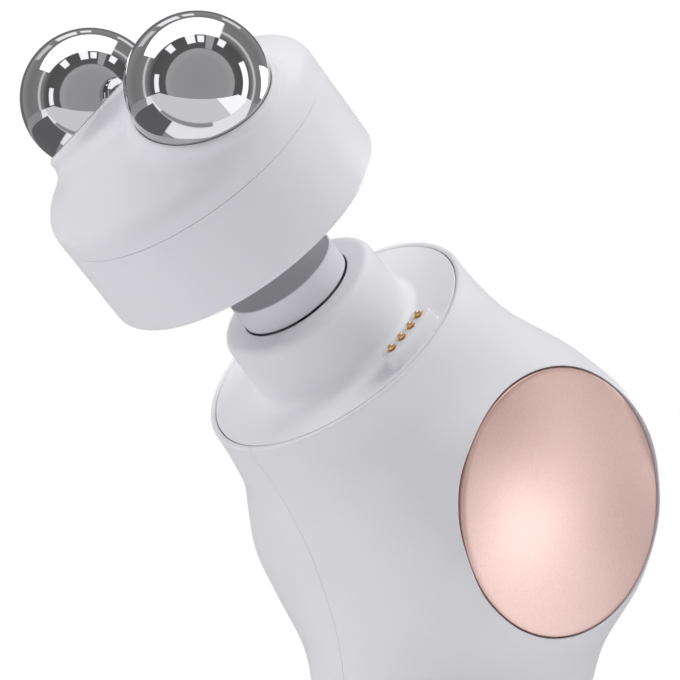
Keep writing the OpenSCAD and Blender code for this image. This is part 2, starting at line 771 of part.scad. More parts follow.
module bracket_screws() {
    color(steel) at_head() for (ear = ears)
        translate([bracket_x - ear_screw_head_t, ear[0], motor_z + ear[1]]) along_x() {
            cylinder(r = screw_head_r, h = ear_screw_head_t);
            cylinder(r = screw_r, h = ear_screw_len + ear_screw_head_t);
        }
}

// ---------------------------------------------------------------- controls on the spine

flange_r = button_r + 0.6;
flange_t = 1;
flange_back = panel_back - 2.9;         // back of the buttons' flanges, clear of the panel
lower_button_z = panel_mid - (panel_h - panel_w) / 2;
upper_button_z = lower_button_z + 2 * flange_r + 0.5;
button_proud = 0.4;
display_lift = 1.2;                     // how far the display lies above the panel's upper arc's centre
display_rise = (panel_h - panel_w) / 2 + display_lift;
display_w = 8.4;
display_h = 5;

// Lays a flat shape on the control panel's back, drawn with +Y up and seen from behind
module on_panel(back, z) { translate([0, back, z]) rotate([90, 0, 180]) children(); }

module control_panel() {
    color(dark) difference() {
        panel_sheet(0, panel_t) slot(panel_w - 2 * fit_gap, panel_h - 2 * fit_gap);
        for (z = [lower_button_z, upper_button_z]) on_panel(flange_back, z)
            cylinder(r = button_r + fit_gap, h = big);
        on_panel(flange_back, panel_mid + display_rise) linear_extrude(big)
            square([display_w, display_h], center = true);
    }
}

module display_window() {
    color([0.2, 0.22, 0.25]) panel_sheet(0, panel_t) translate([0, display_rise])
        square([display_w - 2 * seat_gap, display_h - 2 * seat_gap], center = true);
}

module display_module() {
    front = button_board_back + button_board_t;
    top = panel_mid + display_rise + display_h / 2;
    color(green) on_panel(front, panel_mid + display_rise)
        linear_extrude(panel_face(top, panel_t) - seat_gap - front)
            square([window_w - 3, display_h - 0.8], center = true);
}

module button(z) {
    color([0.85, 0.85, 0.87]) on_panel(flange_back - flange_t, z) {
        cylinder(r = flange_r, h = flange_t);
        cylinder(r = button_r, h = panel_face(z, 0) + button_proud - flange_back + flange_t);
    }
}

module percussion_button() { button(upper_button_z); }
module mode_button() { button(lower_button_z); }

module button_board() {
    color(green) translate([-window_w / 2 - rail_w / 2, button_board_back, panel_mid - window_h / 2])
        cube([window_w + rail_w, button_board_t, window_h]);
}

module button_switches() {
    switch_top = flange_back - flange_t - button_travel - 0.1;
    switch_low = button_board_back + button_board_t;
    color(dark) for (z = [lower_button_z, upper_button_z]) {
        translate([-2, switch_low, z - 2]) cube([4, (switch_top - switch_low) * 0.6, 4]);
        translate([0, switch_low, z]) along_y() cylinder(r = 1, h = switch_top - switch_low);
    }
}

// ---------------------------------------------------------------- power and electronics

cradle_end_t = 1.6;
cell_low = floor_z + cradle_end_t + 2 * seat_gap;
cradle_wall = 1.2;
cradle_r = cell_r + run_gap;
board_y = 12.5;
board_t = 1.6;
board_w = 23;
board_low = 17;
board_clear = 3.8;      // gap between the main board's top and the screw boss above it
board_high = screw_yz(screw_spots[1])[1] - boss_r - board_clear;
rib_t = 1.6;

module battery_cell() {
    cap_t = 1;
    cap_button_r = 3;
    color([0.15, 0.35, 0.65]) translate([0, 0, cell_low]) {
        cylinder(r = cell_r, h = cell_len - cap_t);
        cylinder(r = cap_button_r, h = cell_len);
    }
}

module battery_cradle() {
    half = cradle_r + cradle_wall;
    rib_w = 5;
    end_t = cradle_end_t;
    color(dark) difference() {
        union() {
            translate([-half, -half, cell_low - end_t])
                cube([2 * half, half - 1, cell_len + 2 * end_t]);
            translate([-rib_w / 2, -base_depth / 2 + wall + free_gap, cell_low])
                cube([rib_w, base_depth / 2 - wall - free_gap - half + 1, cell_len / 2]);
        }
        translate([0, 0, cell_low - seat_gap]) cylinder(r = cradle_r, h = cell_len + 2 * seat_gap);
    }
}

module main_board() {
    color(green) translate([-board_w / 2, board_y, board_low])
        cube([board_w, board_t, board_high - board_low]);
}

module board_chips() {
    chip_t = 1.2;
    low_chip_rise = 5;
    mid_chip_rise = 13;
    high_chip_drop = 13;
    // [x, z, side]
    chips = [[-9, board_low + low_chip_rise, 7], [1, board_low + mid_chip_rise, 9],
             [-8, board_high - high_chip_drop, 6]];
    color(dark) for (chip = chips) translate([chip[0], board_y + board_t, chip[1]])
        cube([chip[2], chip_t, chip[2]]);
}

module charge_socket() {
    depth = 7;
    front = base_depth / 2 - socket_recess;
    metal_t = 0.35;
    tongue_w = 6.6;
    tongue_t = 0.7;
    color(steel) translate([0, front - depth, socket_h]) rotate([90, 90, 180]) difference() {
        linear_extrude(depth) slot(socket_t, socket_w);
        translate([0, 0, 1]) linear_extrude(depth) difference() {
            slot(socket_t - 2 * metal_t, socket_w - 2 * metal_t);
            square([tongue_t, tongue_w], center = true);
        }
    }
}

module inlet_board() {
    color(green) translate([-inlet_board_w / 2, inlet_y - inlet_board_d / 2 - fit_gap,
                            inlet_top - inlet_board_t])
        cube([inlet_board_w, inlet_board_d, inlet_board_t]);
}

module foot_pad() {
    color(dark) cylinder(r = foot_r, h = foot_t, $fn = 96);
}

// ---------------------------------------------------------------- toning ring

// In the ring's own frame its back face is at 0 and it is worn facing +Z.
ring_floor_t = 2;
ring_round = 1;
sleeve_t = 1.2;
ceiling_clear = 0.35;           // gap between the seated plunger cap and the cover's ceiling
pocket_half_angle = block_half_angle + 3;
pocket_in = pin_arc_r - pin_block_w / 2 - free_gap - 0.1;
pocket_out = ring_r - ring_wall;
pad_h = pin_block_h + pin_proud - fit_gap + 0.1;
pad_t = 0.2;
pad_r = 1.1;
ring_board_h = 8.5;
ring_board_t = 1.2;

module ring_base() {
    inner = ring_r - ring_wall;
    color(cover_white) at_ring() difference() {
        rotate_extrude($fn = 96) polygon(concat(
            [[well_r, 0]], arc_points([ring_r - ring_round, ring_round], ring_round, 270, 360),
            [[ring_r, ring_side_h - seat_gap], [inner, ring_side_h - seat_gap],
             [inner, ring_floor_t], [well_r + sleeve_t, ring_floor_t],
             [well_r + sleeve_t, ring_side_h], [well_r, ring_side_h]]));
        translate([0, 0, -eps]) arc_block(pocket_in, pocket_out, pocket_half_angle, pad_h + eps);
    }
}

deck_h = ring_side_h + cover_side_h;

module cup_axis(side, drop) {
    translate([side * ball_x, 0, ball_h]) rotate([0, side * cup_cant, 0])
        translate([0, 0, -drop]) children();
}

rim_r = sqrt(ball_r * ball_r - cup_below * cup_below) + cup_wall;
ball_stud_r = 1.2;
ball_stud_shift = 5.2;          // how far a ball's stud lies outside the ball's centre
ball_stud_x = ball_x + ball_stud_shift;

// One cup's wall, along its canted axis
module cup_pod(side) {
    pod_h = 12;
    pod_taper = 0.8;
    cup_axis(side, cup_below + pod_h) cylinder(r1 = rim_r - pod_taper, r2 = rim_r, h = pod_h, $fn = 96);
}

// The saddle that joins the two cups
module saddle() {
    saddle_r = rim_r - 1.3;
    translate([-ball_x, 0, saddle_h - saddle_r]) along_x()
        cylinder(r = saddle_r, h = 2 * ball_x, $fn = 96);
}

module ring_cover() {
    inner = ring_r - ring_wall;
    side_turn = atan(deck_slope);
    round_h = deck_h - cover_round * tan(side_turn / 2);
    hollow_h = cap_low + cap_h - fit_gap + ceiling_clear;
    color(cover_white) at_ring() difference() {
        union() {
            rotate_extrude($fn = 96) polygon(concat(
                [[0, ring_side_h], [ring_r, ring_side_h]],
                arc_points([ring_r - cover_round, round_h], cover_round, 0, side_turn),
                [[ring_r - (deck_top_h - deck_h) * deck_slope, deck_top_h], [0, deck_top_h]]));
            for (side = [-1, 1]) cup_pod(side);
            saddle();
        }
        translate([0, 0, ring_side_h - big]) cylinder(r = 2 * ring_r, h = big);
        translate([0, 0, ring_side_h - eps]) cylinder(r = inner, h = hollow_h - ring_side_h);
        for (side = [-1, 1]) {
            cup_axis(side, 0) sphere(r = ball_r + fit_gap, $fn = 96);
            translate([side * ball_stud_x, 0, ring_side_h])
                cylinder(r = ball_stud_r + fit_gap, h = ball_h - ring_side_h - ball_r / 2, $fn = 32);
        }
    }
}

module ball(side) {
    shell = 0.8;
    stud_low = ring_board_h + ring_board_t;
    color(chrome) at_ring() difference() {
        union() {
            translate([side * ball_x, 0, ball_h]) sphere(r = ball_r, $fn = 96);
            translate([side * ball_stud_x, 0, stud_low])
                cylinder(r = ball_stud_r, h = ball_h - stud_low - ball_r * 0.8, $fn = 32);
        }
        translate([side * ball_x, 0, ball_h]) sphere(r = ball_r - shell, $fn = 96);
    }
}

module right_ball() { ball(1); }
module left_ball() { ball(-1); }

module ring_steel() {
    steel_t = 1;
    color(steel) at_ring() difference() {
        translate([0, 0, ring_floor_t])
            tube(ring_r - ring_wall - fit_gap, well_r + sleeve_t + fit_gap, steel_t);
        translate([0, 0, ring_floor_t - 1])
            arc_block(well_r, ring_r, pocket_half_angle + 3, steel_t + 2);
    }
}

module ring_board() {
    color(green) at_ring() translate([0, 0, ring_board_h])
        tube(ring_r - ring_wall - fit_gap, well_r + sleeve_t + fit_gap, ring_board_t);
}

module contact_block() {
    block_t = 2;
    color(dark) at_ring() translate([0, 0, pad_h + pad_t])
        arc_block(well_r + sleeve_t + seat_gap, ring_r - ring_wall - seat_gap,
                  pocket_half_angle + 2, block_t);
}

module contact_pads() {
    color(gold) at_ring() for (i = [0:3]) at_pin(i) translate([0, 0, pad_h])
        cylinder(r = pad_r, h = pad_t, $fn = 32);
}

// ---------------------------------------------------------------- nodes

right_shell();
left_shell();
face_plate();
right_side_plate();
left_side_plate();
shell_screws();
control_panel();
display_window();
display_module();
button_board();
button_switches();
main_board();
board_chips();
battery_cell();
battery_cradle();
charge_socket();
inlet_board();
foot_pad();
motor_housing();
motor_stator();
motor_bracket();
bracket_screws();
shaft_bushing();
dust_seal();
plate_magnets();
pin_barrels();
contact_board();
motor_rotor();
motor_shaft();
crank_wheel();
crank_pin();
plunger_shaft();
plunger_cap();
cap_magnet();
wrist_pin();
connecting_rod();
contact_pin_1();
contact_pin_2();
contact_pin_3();
contact_pin_4();
percussion_button();
mode_button();
ring_base();
ring_cover();
right_ball();
left_ball();
ring_steel();
ring_board();
contact_block();
contact_pads();
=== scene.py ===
"""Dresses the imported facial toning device: housing, neck, plunger, contacts, controls and ring.

The script is laid out as an add-on. Run as a script, main() makes every piece in order.
Lengths inside the shape functions are millimetres in the CAD's own frame: +Z up, -Y to the
front, origin under the middle of the foot. Meshes are written in metres.
"""

import math

import bmesh
import bpy
import numpy as np
from bpy.props import FloatProperty, FloatVectorProperty, PointerProperty
from mathutils import Matrix, Vector
from mathutils.bvhtree import BVHTree
from mathutils.interpolate import poly_3d_calc


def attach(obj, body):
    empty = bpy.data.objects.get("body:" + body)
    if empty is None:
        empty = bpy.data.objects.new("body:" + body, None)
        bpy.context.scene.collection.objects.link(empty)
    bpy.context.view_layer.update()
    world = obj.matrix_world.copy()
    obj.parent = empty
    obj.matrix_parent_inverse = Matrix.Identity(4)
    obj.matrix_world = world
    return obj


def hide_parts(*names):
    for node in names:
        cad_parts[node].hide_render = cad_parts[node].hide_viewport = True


bl_info = {
    "name": "Facial toning device",
    "version": (1, 0, 0),
    "blender": (4, 5, 0),
    "location": "View3D > Sidebar > Toning device",
    "description": "Builds the looks of a facial toning device around its packed model",
    "category": "Object",
}

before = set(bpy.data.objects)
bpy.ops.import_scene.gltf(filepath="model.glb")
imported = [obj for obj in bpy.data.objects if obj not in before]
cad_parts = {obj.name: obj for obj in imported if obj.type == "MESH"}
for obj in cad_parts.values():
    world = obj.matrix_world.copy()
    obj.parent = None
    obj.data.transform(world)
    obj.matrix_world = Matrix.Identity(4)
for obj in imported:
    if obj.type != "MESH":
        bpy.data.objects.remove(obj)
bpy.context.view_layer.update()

MM = 0.001
SHARP_ANGLE = math.radians(32)
CUTTER_TURN = math.radians(0.7)  # keeps a cutter's edges off the edges that it cuts
SKIN_TOLERANCE = 4e-6  # how near a vertex lies to an uncut skin to take its normal, in metres

# Sections of the body, from the rim (0) through the waist (1) to the base (2): place, depth,
# half width, share of the depth in front of the widest point, and how square the section is
# in front of and behind it.
SECTIONS = (
    (0.00, 50.1, 25.05, 0.50, 2.00, 2.00),
    (0.10, 50.5, 25.50, 0.58, 2.20, 2.40),
    (0.20, 56.5, 31.00, 0.56, 2.00, 2.80),
    (0.32, 63.5, 35.00, 0.53, 2.20, 2.60),
    (0.45, 61.5, 35.50, 0.55, 2.50, 2.60),
    (0.60, 57.5, 33.00, 0.55, 2.40, 2.20),
    (0.80, 51.5, 26.00, 0.49, 2.15, 2.00),
    (1.00, 46.5, 24.00, 0.51, 2.05, 2.15),
    (1.40, 41.0, 21.00, 0.50, 2.10, 2.20),
    (2.00, 42.0, 21.00, 0.50, 2.10, 2.20),
)
THROAT_RUN = 19.5
WAIST_RUN = 11.0
WAIST_HEIGHT = 42.0
SHELL_BOTTOM = 0.6
BASE_ROUND = 3.5
SHELL_WALL = 2.0
FLOOR_HEIGHT = 3.6
CAVITY_HALF_WIDTH = 24.2

FACE_SEAT_RADIUS = 24.0
LEDGE_RADIUS = 22.0
PLATE_THICKNESS = 2.2
PLATE_RADIUS = 23.85
NECK_RADIUS = 14.5
NECK_FOOT_RADIUS = 15.0
NECK_TOP = 11.6
NECK_BORE = 5.52
CAP_RECESS_RADIUS = 10.16
CAP_RECESS_LOW = 7.4

CAP_RADIUS = 10.0
CAP_BORE = 3.02
CAP_LOW = 11.85
CAP_TOP = 16.6
CAP_END_SEAT = 15.0
CAP_END_RADIUS = 9.72
CAP_END_SUNK = 0.06

SIDE_BACK = 2.6
SIDE_HEIGHT = 75.9
SIDE_SEAT_RADIUS = 22.65
SIDE_SEAT_X = 26.2
SIDE_EDGE_X = 28.0
SIDE_EDGE_ROUND = 0.35

PIN_ARC_RADIUS = 20.95
PIN_PITCH = 2.6
PIN_BLOCK_WIDTH = 4.2
PIN_BLOCK_LENGTH = 11.8
PIN_BLOCK_CORNER = 1.5
PIN_BLOCK_HEIGHT = 2.6
BARREL_RADIUS = 0.95
PIN_RADIUS = 0.55
PIN_PROUD = 0.8
BARREL_LOW = -5.0

BALL_HEIGHT = 28.8
WELL_RADIUS = 17.2
SLEEVE_THICKNESS = 1.2
RING_WALL = 2.0
RING_FLOOR = 2
POCKET_HALF_TURN = 18.7  # of the pocket that clears the pin block, in degrees
POCKET_CLEARANCE = 2.5
POCKET_TOP = 3.35
RING_SIDE = 15.6
DECK_HEIGHT = 17.5
DECK_RADIUS = 28.3
DECK_SLOPE = 1.57
DECK_STRETCH = 0.975
DECK_TOP = 27.5
CUP_BELOW = 1.85
CUP_RIM_RADIUS = 12.15
CUP_TAPER = 0.5         # how much a cup narrows for each millimetre down from its rim
CUP_BLEND = 5.0
CUP_UNION = 9.0
DECK_EDGE_BLEND = 1.8
DECK_TOP_BLEND = 2.0

PANEL_MIDDLE = 70.8
PANEL_WIDTH = 14.0
PANEL_LENGTH = 28.0
PANEL_BACK = 32.8
PANEL_CURVE = 65.0
PANEL_THICKNESS = 1.3
BUTTON_RADIUS = 3.3
BUTTON_PROUD = 0.4
FLANGE_RADIUS = BUTTON_RADIUS + 0.6
LOWER_BUTTON_HEIGHT = PANEL_MIDDLE - (PANEL_LENGTH - PANEL_WIDTH) / 2
UPPER_BUTTON_HEIGHT = LOWER_BUTTON_HEIGHT + 2 * FLANGE_RADIUS + 0.5
DISPLAY_HEIGHT = PANEL_MIDDLE + (PANEL_LENGTH - PANEL_WIDTH) / 2 + 1.2
DISPLAY_SIZE = (8.4, 5.0)
SOCKET_HEIGHT = 12.0
FOOT_RADIUS = 16.5
FOOT_THICKNESS = 1.6


# ------------------------------------------------------------------ settings

class DeviceSizes(bpy.types.PropertyGroup):
    """Sizes that a user would change first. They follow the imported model."""

    head_height: FloatProperty(
        name="Head height", description="Height of the face plate's centre",
        default=0.102, unit="LENGTH")
    head_forward: FloatProperty(
        name="Head forward",
        description="How far the face plate's centre stands in front of the foot",
        default=0.024, unit="LENGTH")
    head_tilt: FloatProperty(
        name="Head tilt", description="Tilt of the head from upright",
        default=math.radians(45), subtype="ANGLE")
    ring_lift: FloatProperty(
        name="Ring lift", description="Height of the lifted ring's back over the face plate",
        default=0.027, unit="LENGTH")
    ring_radius: FloatProperty(
        name="Ring radius", description="Outer radius of the toning ring",
        default=0.0253, unit="LENGTH")
    ball_radius: FloatProperty(
        name="Ball radius", description="Radius of a ball electrode",
        default=0.0115, unit="LENGTH")
    ball_offset: FloatProperty(
        name="Ball offset", description="Distance of a ball's centre from the middle plane",
        default=0.01475, unit="LENGTH")
    cup_cant: FloatProperty(
        name="Cup cant", description="Outward lean of each ball's cup",
        default=math.radians(21), subtype="ANGLE")
    side_plate_radius: FloatProperty(
        name="Side plate radius", description="Radius of a side electrode plate",
        default=0.02235, unit="LENGTH")
    side_plate_bulge: FloatProperty(
        name="Side plate bulge", description="Height of a side plate's dome over its edge",
        default=0.0026, unit="LENGTH")
    seam_gap: FloatProperty(
        name="Seam gap", description="Half the width of the parting line between the shells",
        default=0.00004, unit="LENGTH")


def colour(name, description, default):
    return FloatVectorProperty(
        name=name, description=description, default=default, subtype="COLOR",
        size=3, min=0.0, max=1.0)


class DeviceColours(bpy.types.PropertyGroup):
    """Colours of the finishes, as linear values."""

    shell: colour("Shell white", "Satin plastic of the housing", (0.80, 0.80, 0.825))
    ring: colour("Ring white", "Satin plastic of the toning ring", (0.80, 0.80, 0.83))
    plunger: colour("Plunger grey", "Side of the plunger's cap", (0.72, 0.72, 0.75))
    # The end face's darker grey is partly its own grey and partly painted shade from the ring
    # hovering over it.
    plunger_end: colour("Plunger end", "End face of the plunger", (0.42, 0.42, 0.44))
    rose: colour("Rose metal", "Side electrode plates", (0.74, 0.42, 0.36))
    chrome: colour("Chrome", "Ball electrodes", (0.62, 0.62, 0.635))
    gold: colour("Gold", "Contact pins", (0.78, 0.56, 0.31))
    panel: colour("Panel black", "Control panel", (0.012, 0.012, 0.014))
    rubber: colour("Foot grey", "Rubber foot", (0.22, 0.22, 0.23))


class StudioSettings(bpy.types.PropertyGroup):
    """Levels of the studio light."""

    left_power: FloatProperty(
        name="Left lamp", description="Power of the lamp at the left", default=2.5, unit="POWER")
    top_power: FloatProperty(
        name="Top lamp", description="Power of the lamp overhead, a little to the right",
        default=4.6, unit="POWER")
    sheen_power: FloatProperty(
        name="Sheen lamp", description="Power of the lamp that only the side plates catch",
        default=0.17, unit="POWER")
    sky_level: FloatProperty(
        name="Sky level", description="Light from all round", default=0.46)


def sizes():
    return bpy.context.scene.toning_sizes


def colours():
    return bpy.context.scene.toning_colours


def studio():
    return bpy.context.scene.toning_studio


# ------------------------------------------------------------------ mesh helpers

def mesh_object(name, points, faces, place=None):
    """An object from points in millimetres, optionally placed by a matrix in millimetres."""
    mesh = bpy.data.meshes.new(name)
    mesh.from_pydata([tuple(p) for p in points], [], faces)
    if place is not None:
        mesh.transform(place)
    mesh.transform(Matrix.Scale(MM, 4))
    tool = bmesh.new()
    tool.from_mesh(mesh)
    bmesh.ops.remove_doubles(tool, verts=tool.verts, dist=1e-8)
    bmesh.ops.recalc_face_normals(tool, faces=tool.faces)
    tool.to_mesh(mesh)
    tool.free()
    piece = bpy.data.objects.new(name, mesh)
    bpy.context.scene.collection.objects.link(piece)
    return piece


def rows_solid(name, rows, place=None, capped=True):
    """A closed solid through rows of points, each row a closed loop of the same count."""
    count = len(rows[0])
    points = [p for row in rows for p in row]
    faces = []
    for i in range(len(rows) - 1):
        for k in range(count):
            n = (k + 1) % count
            faces.append((i * count + k, i * count + n, (i + 1) * count + n, (i + 1) * count + k))
    if capped:
        faces.append(tuple(range(count)))
        last = (len(rows) - 1) * count
        faces.append(tuple(range(last, last + count)))
    return mesh_object(name, points, faces, place)


def lathe(name, profile, place=None, steps=160):
    """Turns a closed profile of (radius, height) about +Z. Points at radius 0 become poles."""
    points, index = [], []
    for radius, height in profile:
        if radius < 1e-9:
            index.append([len(points)] * steps)
            points.append((0.0, 0.0, height))
            continue
        index.append(list(range(len(points), len(points) + steps)))
        for k in range(steps):
            angle = 2 * math.pi * k / steps
            points.append((radius * math.cos(angle), radius * math.sin(angle), height))
    faces = []
    for i, ring in enumerate(index):
        after = index[(i + 1) % len(index)]
        if len(set(ring)) == 1 and len(set(after)) == 1:
            continue
        for k in range(steps):
            n = (k + 1) % steps
            face = [ring[k], ring[n], after[n], after[k]]
            face = [v for j, v in enumerate(face) if v not in face[:j]]
            faces.append(tuple(face))
    return mesh_object(name, points, faces, place)


def rounded(corners, steps=7):
    """A closed outline of (x, y, radius) corners with its corners rounded off."""
    outline = []
    count = len(corners)
    for i, (x, y, radius) in enumerate(corners):
        here = Vector((x, y))
        if radius <= 0:
            outline.append((x, y))
            continue
        before = (Vector(corners[i - 1][:2]) - here).normalized()
        after = (Vector(corners[(i + 1) % count][:2]) - here).normalized()
        half = before.angle(after) / 2
        reach = radius / math.tan(half)
        centre = here + (before + after).normalized() * (radius / math.sin(half))
        start = here + before * reach - centre
        turn = start.angle_signed(here + after * reach - centre)
        for k in range(steps + 1):
            arm = start.copy()
            arm.rotate(Matrix.Rotation(-turn * k / steps, 2))
            outline.append(tuple(centre + arm))
    return outline


def carve(piece, tools, operation="DIFFERENCE"):
    """Cuts (or joins) the tool objects from the piece, in order, and removes them."""
    for tool in tools:
        cut = piece.modifiers.new("carve", "BOOLEAN")
        cut.operation = operation
        cut.solver = "MANIFOLD"
        cut.object = tool
    bpy.context.view_layer.update()
    made = piece.evaluated_get(bpy.context.evaluated_depsgraph_get())
    mesh = bpy.data.meshes.new_from_object(made)
    piece.modifiers.clear()
    old = piece.data
    piece.data = mesh
    bpy.data.meshes.remove(old)
    for tool in tools:
        data = tool.data
        bpy.data.objects.remove(tool)
        bpy.data.meshes.remove(data)


def soften(piece, angle=SHARP_ANGLE):
    piece.data.shade_smooth()
    piece.data.set_sharp_from_angle(angle=angle)


def skin_normals(piece, normal_at):
    """Gives vertices on a smooth skin that skin's own normals, so that cuts leave no mark."""
    soften(piece)
    mesh = piece.data
    corner = np.zeros(len(mesh.loops) * 3, np.float32)
    mesh.corner_normals.foreach_get("vector", corner)
    corner = corner.reshape(-1, 3)
    on_skin = [normal_at(v.co) for v in mesh.vertices]
    for face in mesh.polygons:
        normals = [on_skin[v] for v in face.vertices]
        if any(n is None for n in normals):
            continue
        if normals[0].dot(face.normal) < 0.5:
            continue
        for loop, normal in zip(face.loop_indices, normals):
            corner[loop] = normal
    mesh.normals_split_custom_set([tuple(n) for n in corner])


def place_head():
    size = sizes()
    return (Matrix.Translation((0, -size.head_forward / MM, size.head_height / MM))
            @ Matrix.Rotation(size.head_tilt, 4, "X"))


def place_ring():
    return place_head() @ Matrix.Translation((0, 0, sizes().ring_lift / MM))


def mirrored(piece, name):
    """A copy of the piece on the other side of the middle plane."""
    mesh = piece.data.copy()
    corner = np.zeros(len(mesh.loops) * 3, np.float32)
    mesh.corner_normals.foreach_get("vector", corner)
    corner = corner.reshape(-1, 3)
    kept = {}
    for face in mesh.polygons:
        for loop, vertex in zip(face.loop_indices, face.vertices):
            kept[(face.index, vertex)] = corner[loop].copy()
    mesh.transform(Matrix.Scale(-1, 4, (1, 0, 0)))
    mesh.flip_normals()
    normals = [(0, 0, 1)] * len(mesh.loops)
    for face in mesh.polygons:
        for loop, vertex in zip(face.loop_indices, face.vertices):
            n = kept[(face.index, vertex)]
            normals[loop] = (-n[0], n[1], n[2])
    mesh.normals_split_custom_set(normals)
    other = bpy.data.objects.new(name, mesh)
    bpy.context.scene.collection.objects.link(other)
    return other


def finish_piece(piece, material, slot, body, *nodes):
    piece.data.materials.clear()
    piece.data.materials.append(material)
    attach(piece, body)
    if nodes:
        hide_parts(*nodes)


# ------------------------------------------------------------------ materials

def new_material(name):
    material = bpy.data.materials.new(name)
    material.use_nodes = True
    nodes = material.node_tree.nodes
    shader = nodes["Principled BSDF"]
    return material, nodes, material.node_tree.links, shader


def noise(nodes, links, where, scale, detail=3.0, roughness=0.5):
    field = nodes.new("ShaderNodeTexNoise")
    field.inputs["Scale"].default_value = scale
    field.inputs["Detail"].default_value = detail
    field.inputs["Roughness"].default_value = roughness
    links.new(where.outputs["Object"], field.inputs["Vector"])
    return field


def tinted(nodes, links, field, base, spread):
    """A colour that drifts round base as the field goes from low to high."""
    ramp = nodes.new("ShaderNodeValToRGB")
    ramp.color_ramp.elements[0].position = 0.3
    ramp.color_ramp.elements[1].position = 0.7
    ramp.color_ramp.elements[0].color = [max(c * (1 - spread), 0) for c in base] + [1]
    ramp.color_ramp.elements[1].color = [min(c * (1 + spread), 1) for c in base] + [1]
    links.new(field.outputs["Fac"], ramp.inputs["Fac"])
    return ramp


def ranged(nodes, links, field, low, high):
    """The field's middle band stretched from low to high."""
    span = nodes.new("ShaderNodeMapRange")
    span.inputs["From Min"].default_value = 0.3
    span.inputs["From Max"].default_value = 0.7
    span.inputs["To Min"].default_value = low
    span.inputs["To Max"].default_value = high
    links.new(field.outputs["Fac"], span.inputs["Value"])
    return span


def finish(name, base, roughness, metallic=0.0, grain=4000.0, grain_depth=0.000004,
           mottle=60.0, spread=0.012, rough_spread=0.04, coat=0.0, coat_roughness=0.1,
           sparkle=0.0, ior=1.5):
    """A moulded or turned surface: fine grain in the bump, a slow drift in colour and gloss."""
    material, nodes, links, shader = new_material(name)
    where = nodes.new("ShaderNodeTexCoord")
    drift = noise(nodes, links, where, mottle)
    fine = noise(nodes, links, where, grain, detail=2.0)
    tint = tinted(nodes, links, drift, base, spread).outputs["Color"]
    if sparkle:
        speck = nodes.new("ShaderNodeMix")
        speck.data_type = "RGBA"
        speck.blend_type = "MULTIPLY"
        speck.inputs["Factor"].default_value = 1.0
        links.new(tint, speck.inputs["A"])
        links.new(ranged(nodes, links, fine, 1 - sparkle, 1 + sparkle).outputs["Result"],
                  speck.inputs["B"])
        tint = speck.outputs["Result"]
    links.new(tint, shader.inputs["Base Color"])
    shader.inputs["IOR"].default_value = ior
    shader.inputs["Coat IOR"].default_value = ior
    gloss = ranged(nodes, links, drift, roughness - rough_spread, roughness + rough_spread)
    links.new(gloss.outputs["Result"], shader.inputs["Roughness"])
    bump = nodes.new("ShaderNodeBump")
    bump.inputs["Distance"].default_value = grain_depth
    bump.inputs["Strength"].default_value = 1.0
    links.new(fine.outputs["Fac"], bump.inputs["Height"])
    links.new(bump.outputs["Normal"], shader.inputs["Normal"])
    shader.inputs["Metallic"].default_value = metallic
    shader.inputs["Coat Weight"].default_value = coat
    shader.inputs["Coat Roughness"].default_value = coat_roughness
    return material


def striped(name, base, roughness, metallic, stripe_scale, depth, direction="Z"):
    """A surface with fine even lines, such as a winding or turned metal."""
    material, nodes, links, shader = new_material(name)
    where = nodes.new("ShaderNodeTexCoord")
    wave = nodes.new("ShaderNodeTexWave")
    wave.wave_type = "BANDS"
    wave.bands_direction = direction
    wave.inputs["Scale"].default_value = stripe_scale
    wave.inputs["Distortion"].default_value = 0.4
    links.new(where.outputs["Object"], wave.inputs["Vector"])
    drift = noise(nodes, links, where, 120.0)
    links.new(tinted(nodes, links, drift, base, 0.06).outputs["Color"],
              shader.inputs["Base Color"])
    bump = nodes.new("ShaderNodeBump")
    bump.inputs["Distance"].default_value = depth
    links.new(wave.outputs["Fac"], bump.inputs["Height"])
    links.new(bump.outputs["Normal"], shader.inputs["Normal"])
    shader.inputs["Roughness"].default_value = roughness
    shader.inputs["Metallic"].default_value = metallic
    return material


def circuit_board_finish():
    """Solder mask with faint copper runs under it."""
    material, nodes, links, shader = new_material("solder_mask")
    where = nodes.new("ShaderNodeTexCoord")
    runs = nodes.new("ShaderNodeTexBrick")
    runs.inputs["Scale"].default_value = 420.0
    runs.inputs["Mortar Size"].default_value = 0.04
    runs.inputs["Color1"].default_value = (0.012, 0.10, 0.035, 1)
    runs.inputs["Color2"].default_value = (0.016, 0.13, 0.045, 1)
    runs.inputs["Mortar"].default_value = (0.05, 0.24, 0.08, 1)
    links.new(where.outputs["Object"], runs.inputs["Vector"])
    links.new(runs.outputs["Color"], shader.inputs["Base Color"])
    shader.inputs["Roughness"].default_value = 0.35
    return material


def smoked_glass():
    """Dark window over the display."""
    material, nodes, links, shader = new_material("smoked_window")
    where = nodes.new("ShaderNodeTexCoord")
    drift = noise(nodes, links, where, 90.0)
    links.new(tinted(nodes, links, drift, (0.02, 0.022, 0.026), 0.1).outputs["Color"],
              shader.inputs["Base Color"])
    shader.inputs["Roughness"].default_value = 0.06
    shader.inputs["Coat Weight"].default_value = 0.6
    return material


